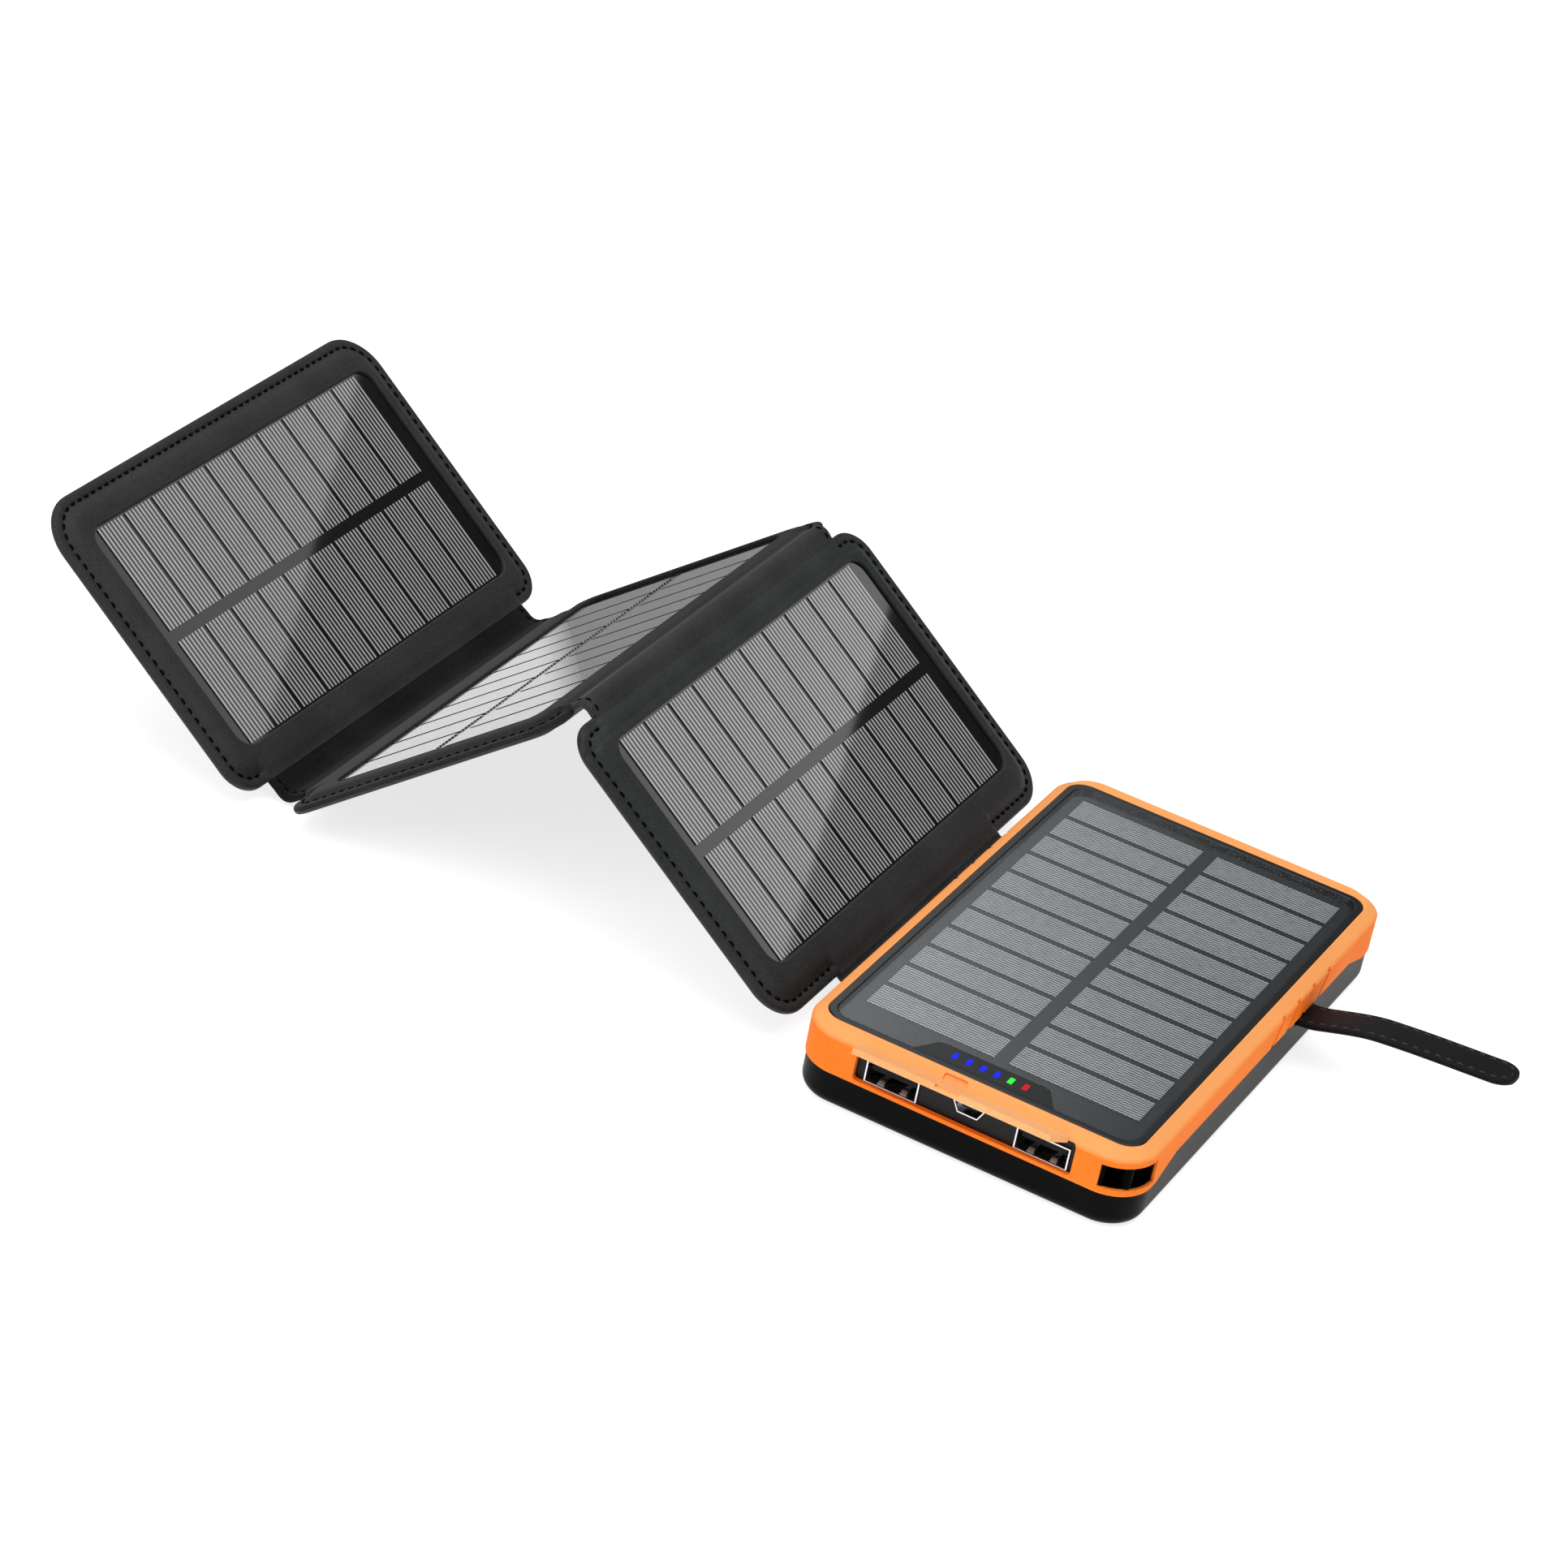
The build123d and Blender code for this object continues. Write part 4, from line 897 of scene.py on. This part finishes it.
# the floor is clear from below, so that the underside can be seen
fo = fm.node_tree.nodes["Material Output"]
fmix = fm.node_tree.nodes.new("ShaderNodeMixShader")
fgeo = fm.node_tree.nodes.new("ShaderNodeNewGeometry")
fclear = fm.node_tree.nodes.new("ShaderNodeBsdfTransparent")
fm.node_tree.links.new(fgeo.outputs["Backfacing"], fmix.inputs[0])
fm.node_tree.links.new(fb.outputs[0], fmix.inputs[1])
fm.node_tree.links.new(fclear.outputs[0], fmix.inputs[2])
fm.node_tree.links.new(fmix.outputs[0], fo.inputs[0])
me = bpy.data.meshes.new("floor")
me.from_pydata([(x, y, -0.00005) for x, y in ((-6, -6), (6, -6), (6, 6), (-6, 6))], [], [(0, 1, 2, 3)])
me.materials.append(fm)
floor = bpy.data.objects.new("floor", me)
sc.collection.objects.link(floor)


def card(name, corners, strengths, tint=(1, 1, 1), faces=None, one_sided=False):
    """A soft light card that glossy faces mirror: strengths are at its corners. A one-sided card is clear from behind."""
    me = bpy.data.meshes.new(name)
    me.from_pydata([(x * MM, y * MM, z * MM) for x, y, z in corners], [], faces or [tuple(range(len(corners)))])
    attr = me.color_attributes.new("level", "FLOAT_COLOR", "POINT")
    for i, s in enumerate(strengths):
        attr.data[i].color = (s, s, s, 1)
    mat = bpy.data.materials.new(name)
    mat.use_nodes = True
    nt = mat.node_tree
    nt.nodes.clear()
    out = nt.nodes.new("ShaderNodeOutputMaterial")
    em = nt.nodes.new("ShaderNodeEmission")
    em.inputs["Color"].default_value = (*tint, 1)
    at_ = nt.nodes.new("ShaderNodeAttribute")
    at_.attribute_name = "level"
    nt.links.new(at_.outputs["Fac"], em.inputs["Strength"])
    if one_sided:
        mix = nt.nodes.new("ShaderNodeMixShader")
        geo = nt.nodes.new("ShaderNodeNewGeometry")
        clear = nt.nodes.new("ShaderNodeBsdfTransparent")
        nt.links.new(geo.outputs["Backfacing"], mix.inputs[0])
        nt.links.new(em.outputs[0], mix.inputs[1])
        nt.links.new(clear.outputs[0], mix.inputs[2])
        nt.links.new(mix.outputs[0], out.inputs[0])
    else:
        nt.links.new(em.outputs[0], out.inputs[0])
    me.materials.append(mat)
    o = bpy.data.objects.new(name, me)
    sc.collection.objects.link(o)
    o.visible_camera = False
    o.visible_diffuse = False
    o.visible_shadow = False
    o.visible_transmission = False
    return o


YC = 1200.0
card("card_panel_3", [(150, YC, 781.6), (470, YC, 901.9), (470, YC, 1150), (150, YC, 1150)], [1.35, 1.35, 1.1, 1.1])
card("card_panel_1", [(370, YC, 635.7), (680, YC, 751.0), (680, YC, 870), (450, YC, 830), (370, YC, 755)], [1.85, 1.85, 1.4, 1.4, 1.4])
cols = [(-1100, 1.6), (-506, 1.0), (-344, 0.3), (-250, 0.12), (-60, 0.08)]
card("card_deck", [(x, YC, z) for z in (560, 1150) for x, _ in cols], [v for _ in range(2) for _, v in cols], (0.97, 0.99, 1.0),
     faces=[(i, i + 1, i + 6, i + 5) for i in range(4)])
# panel 2 is seen at a low angle: it mirrors a white sheet held over panel 3, and a grey one beyond
steps = [(Y0, 1.12), (Y1 - 17, 1.08), (Y1 - 11, 0.92), (Y1 - 5, 0.62), (Y1, 0.38)]
q = np.array([at(3, np.array([t]), np.array([y]), 1.0)[0] for y, _ in steps for t in (1.2, SPAN[3][1])])
rows = [(2 * i, 2 * i + 1, 2 * i + 3, 2 * i + 2) for i in range(4)]
if np.cross(q[1] - q[0], q[3] - q[0]) @ np.array([normal(3)[0], 0, normal(3)[1]]) < 0:
    rows = [r[::-1] for r in rows]
card("card_valley", q.tolist(), [v for _, v in steps for _ in range(2)], faces=rows, one_sided=True)
card("flag_behind", [(120, 1230, 300), (1300, 1230, 300), (1300, 1230, 1500), (120, 1230, 1500)], [0.02] * 4)
card("card_behind", [(-700, 79, 1.5), (-60, 79, 1.5), (-60, 600, 1.5), (-700, 600, 1.5)], [0.3] * 4)


def area(name, loc, target, size, power, colour=(1, 1, 1)):
    d = bpy.data.lights.new(name, "AREA")
    d.shape = "RECTANGLE"
    d.size, d.size_y = size
    d.energy = power
    d.color = colour
    o = bpy.data.objects.new(name, d)
    sc.collection.objects.link(o)
    a = np.array(target, float) - np.array(loc, float)
    z = -a / np.linalg.norm(a)
    x = np.cross([0, 1, 0.01], z)
    x /= np.linalg.norm(x)
    y = np.cross(z, x)
    mm = np.eye(4)
    mm[:3, 0], mm[:3, 1], mm[:3, 2], mm[:3, 3] = x, y, z, loc
    o.matrix_world = Matrix(mm.tolist())
    return o


area("overhead", (-0.1, 0.0, 1.7), (-0.08, 0, 0), (2.4, 2.4), 34.0)
area("front_left", (-0.9, -1.3, 0.9), (0, -0.05, 0.02), (1.0, 1.0), 10.0)
area("right_fill", (1.3, -0.3, 0.6), (0, 0, 0.01), (0.8, 0.8), 3.0)
world = bpy.data.worlds.new("world")
sc.world = world
world.use_nodes = True
world.node_tree.nodes["Background"].inputs[0].default_value = (1, 1, 1, 1)
world.node_tree.nodes["Background"].inputs[1].default_value = 0.14
sc.view_settings.view_transform = "Standard"
sc.view_settings.look = "None"
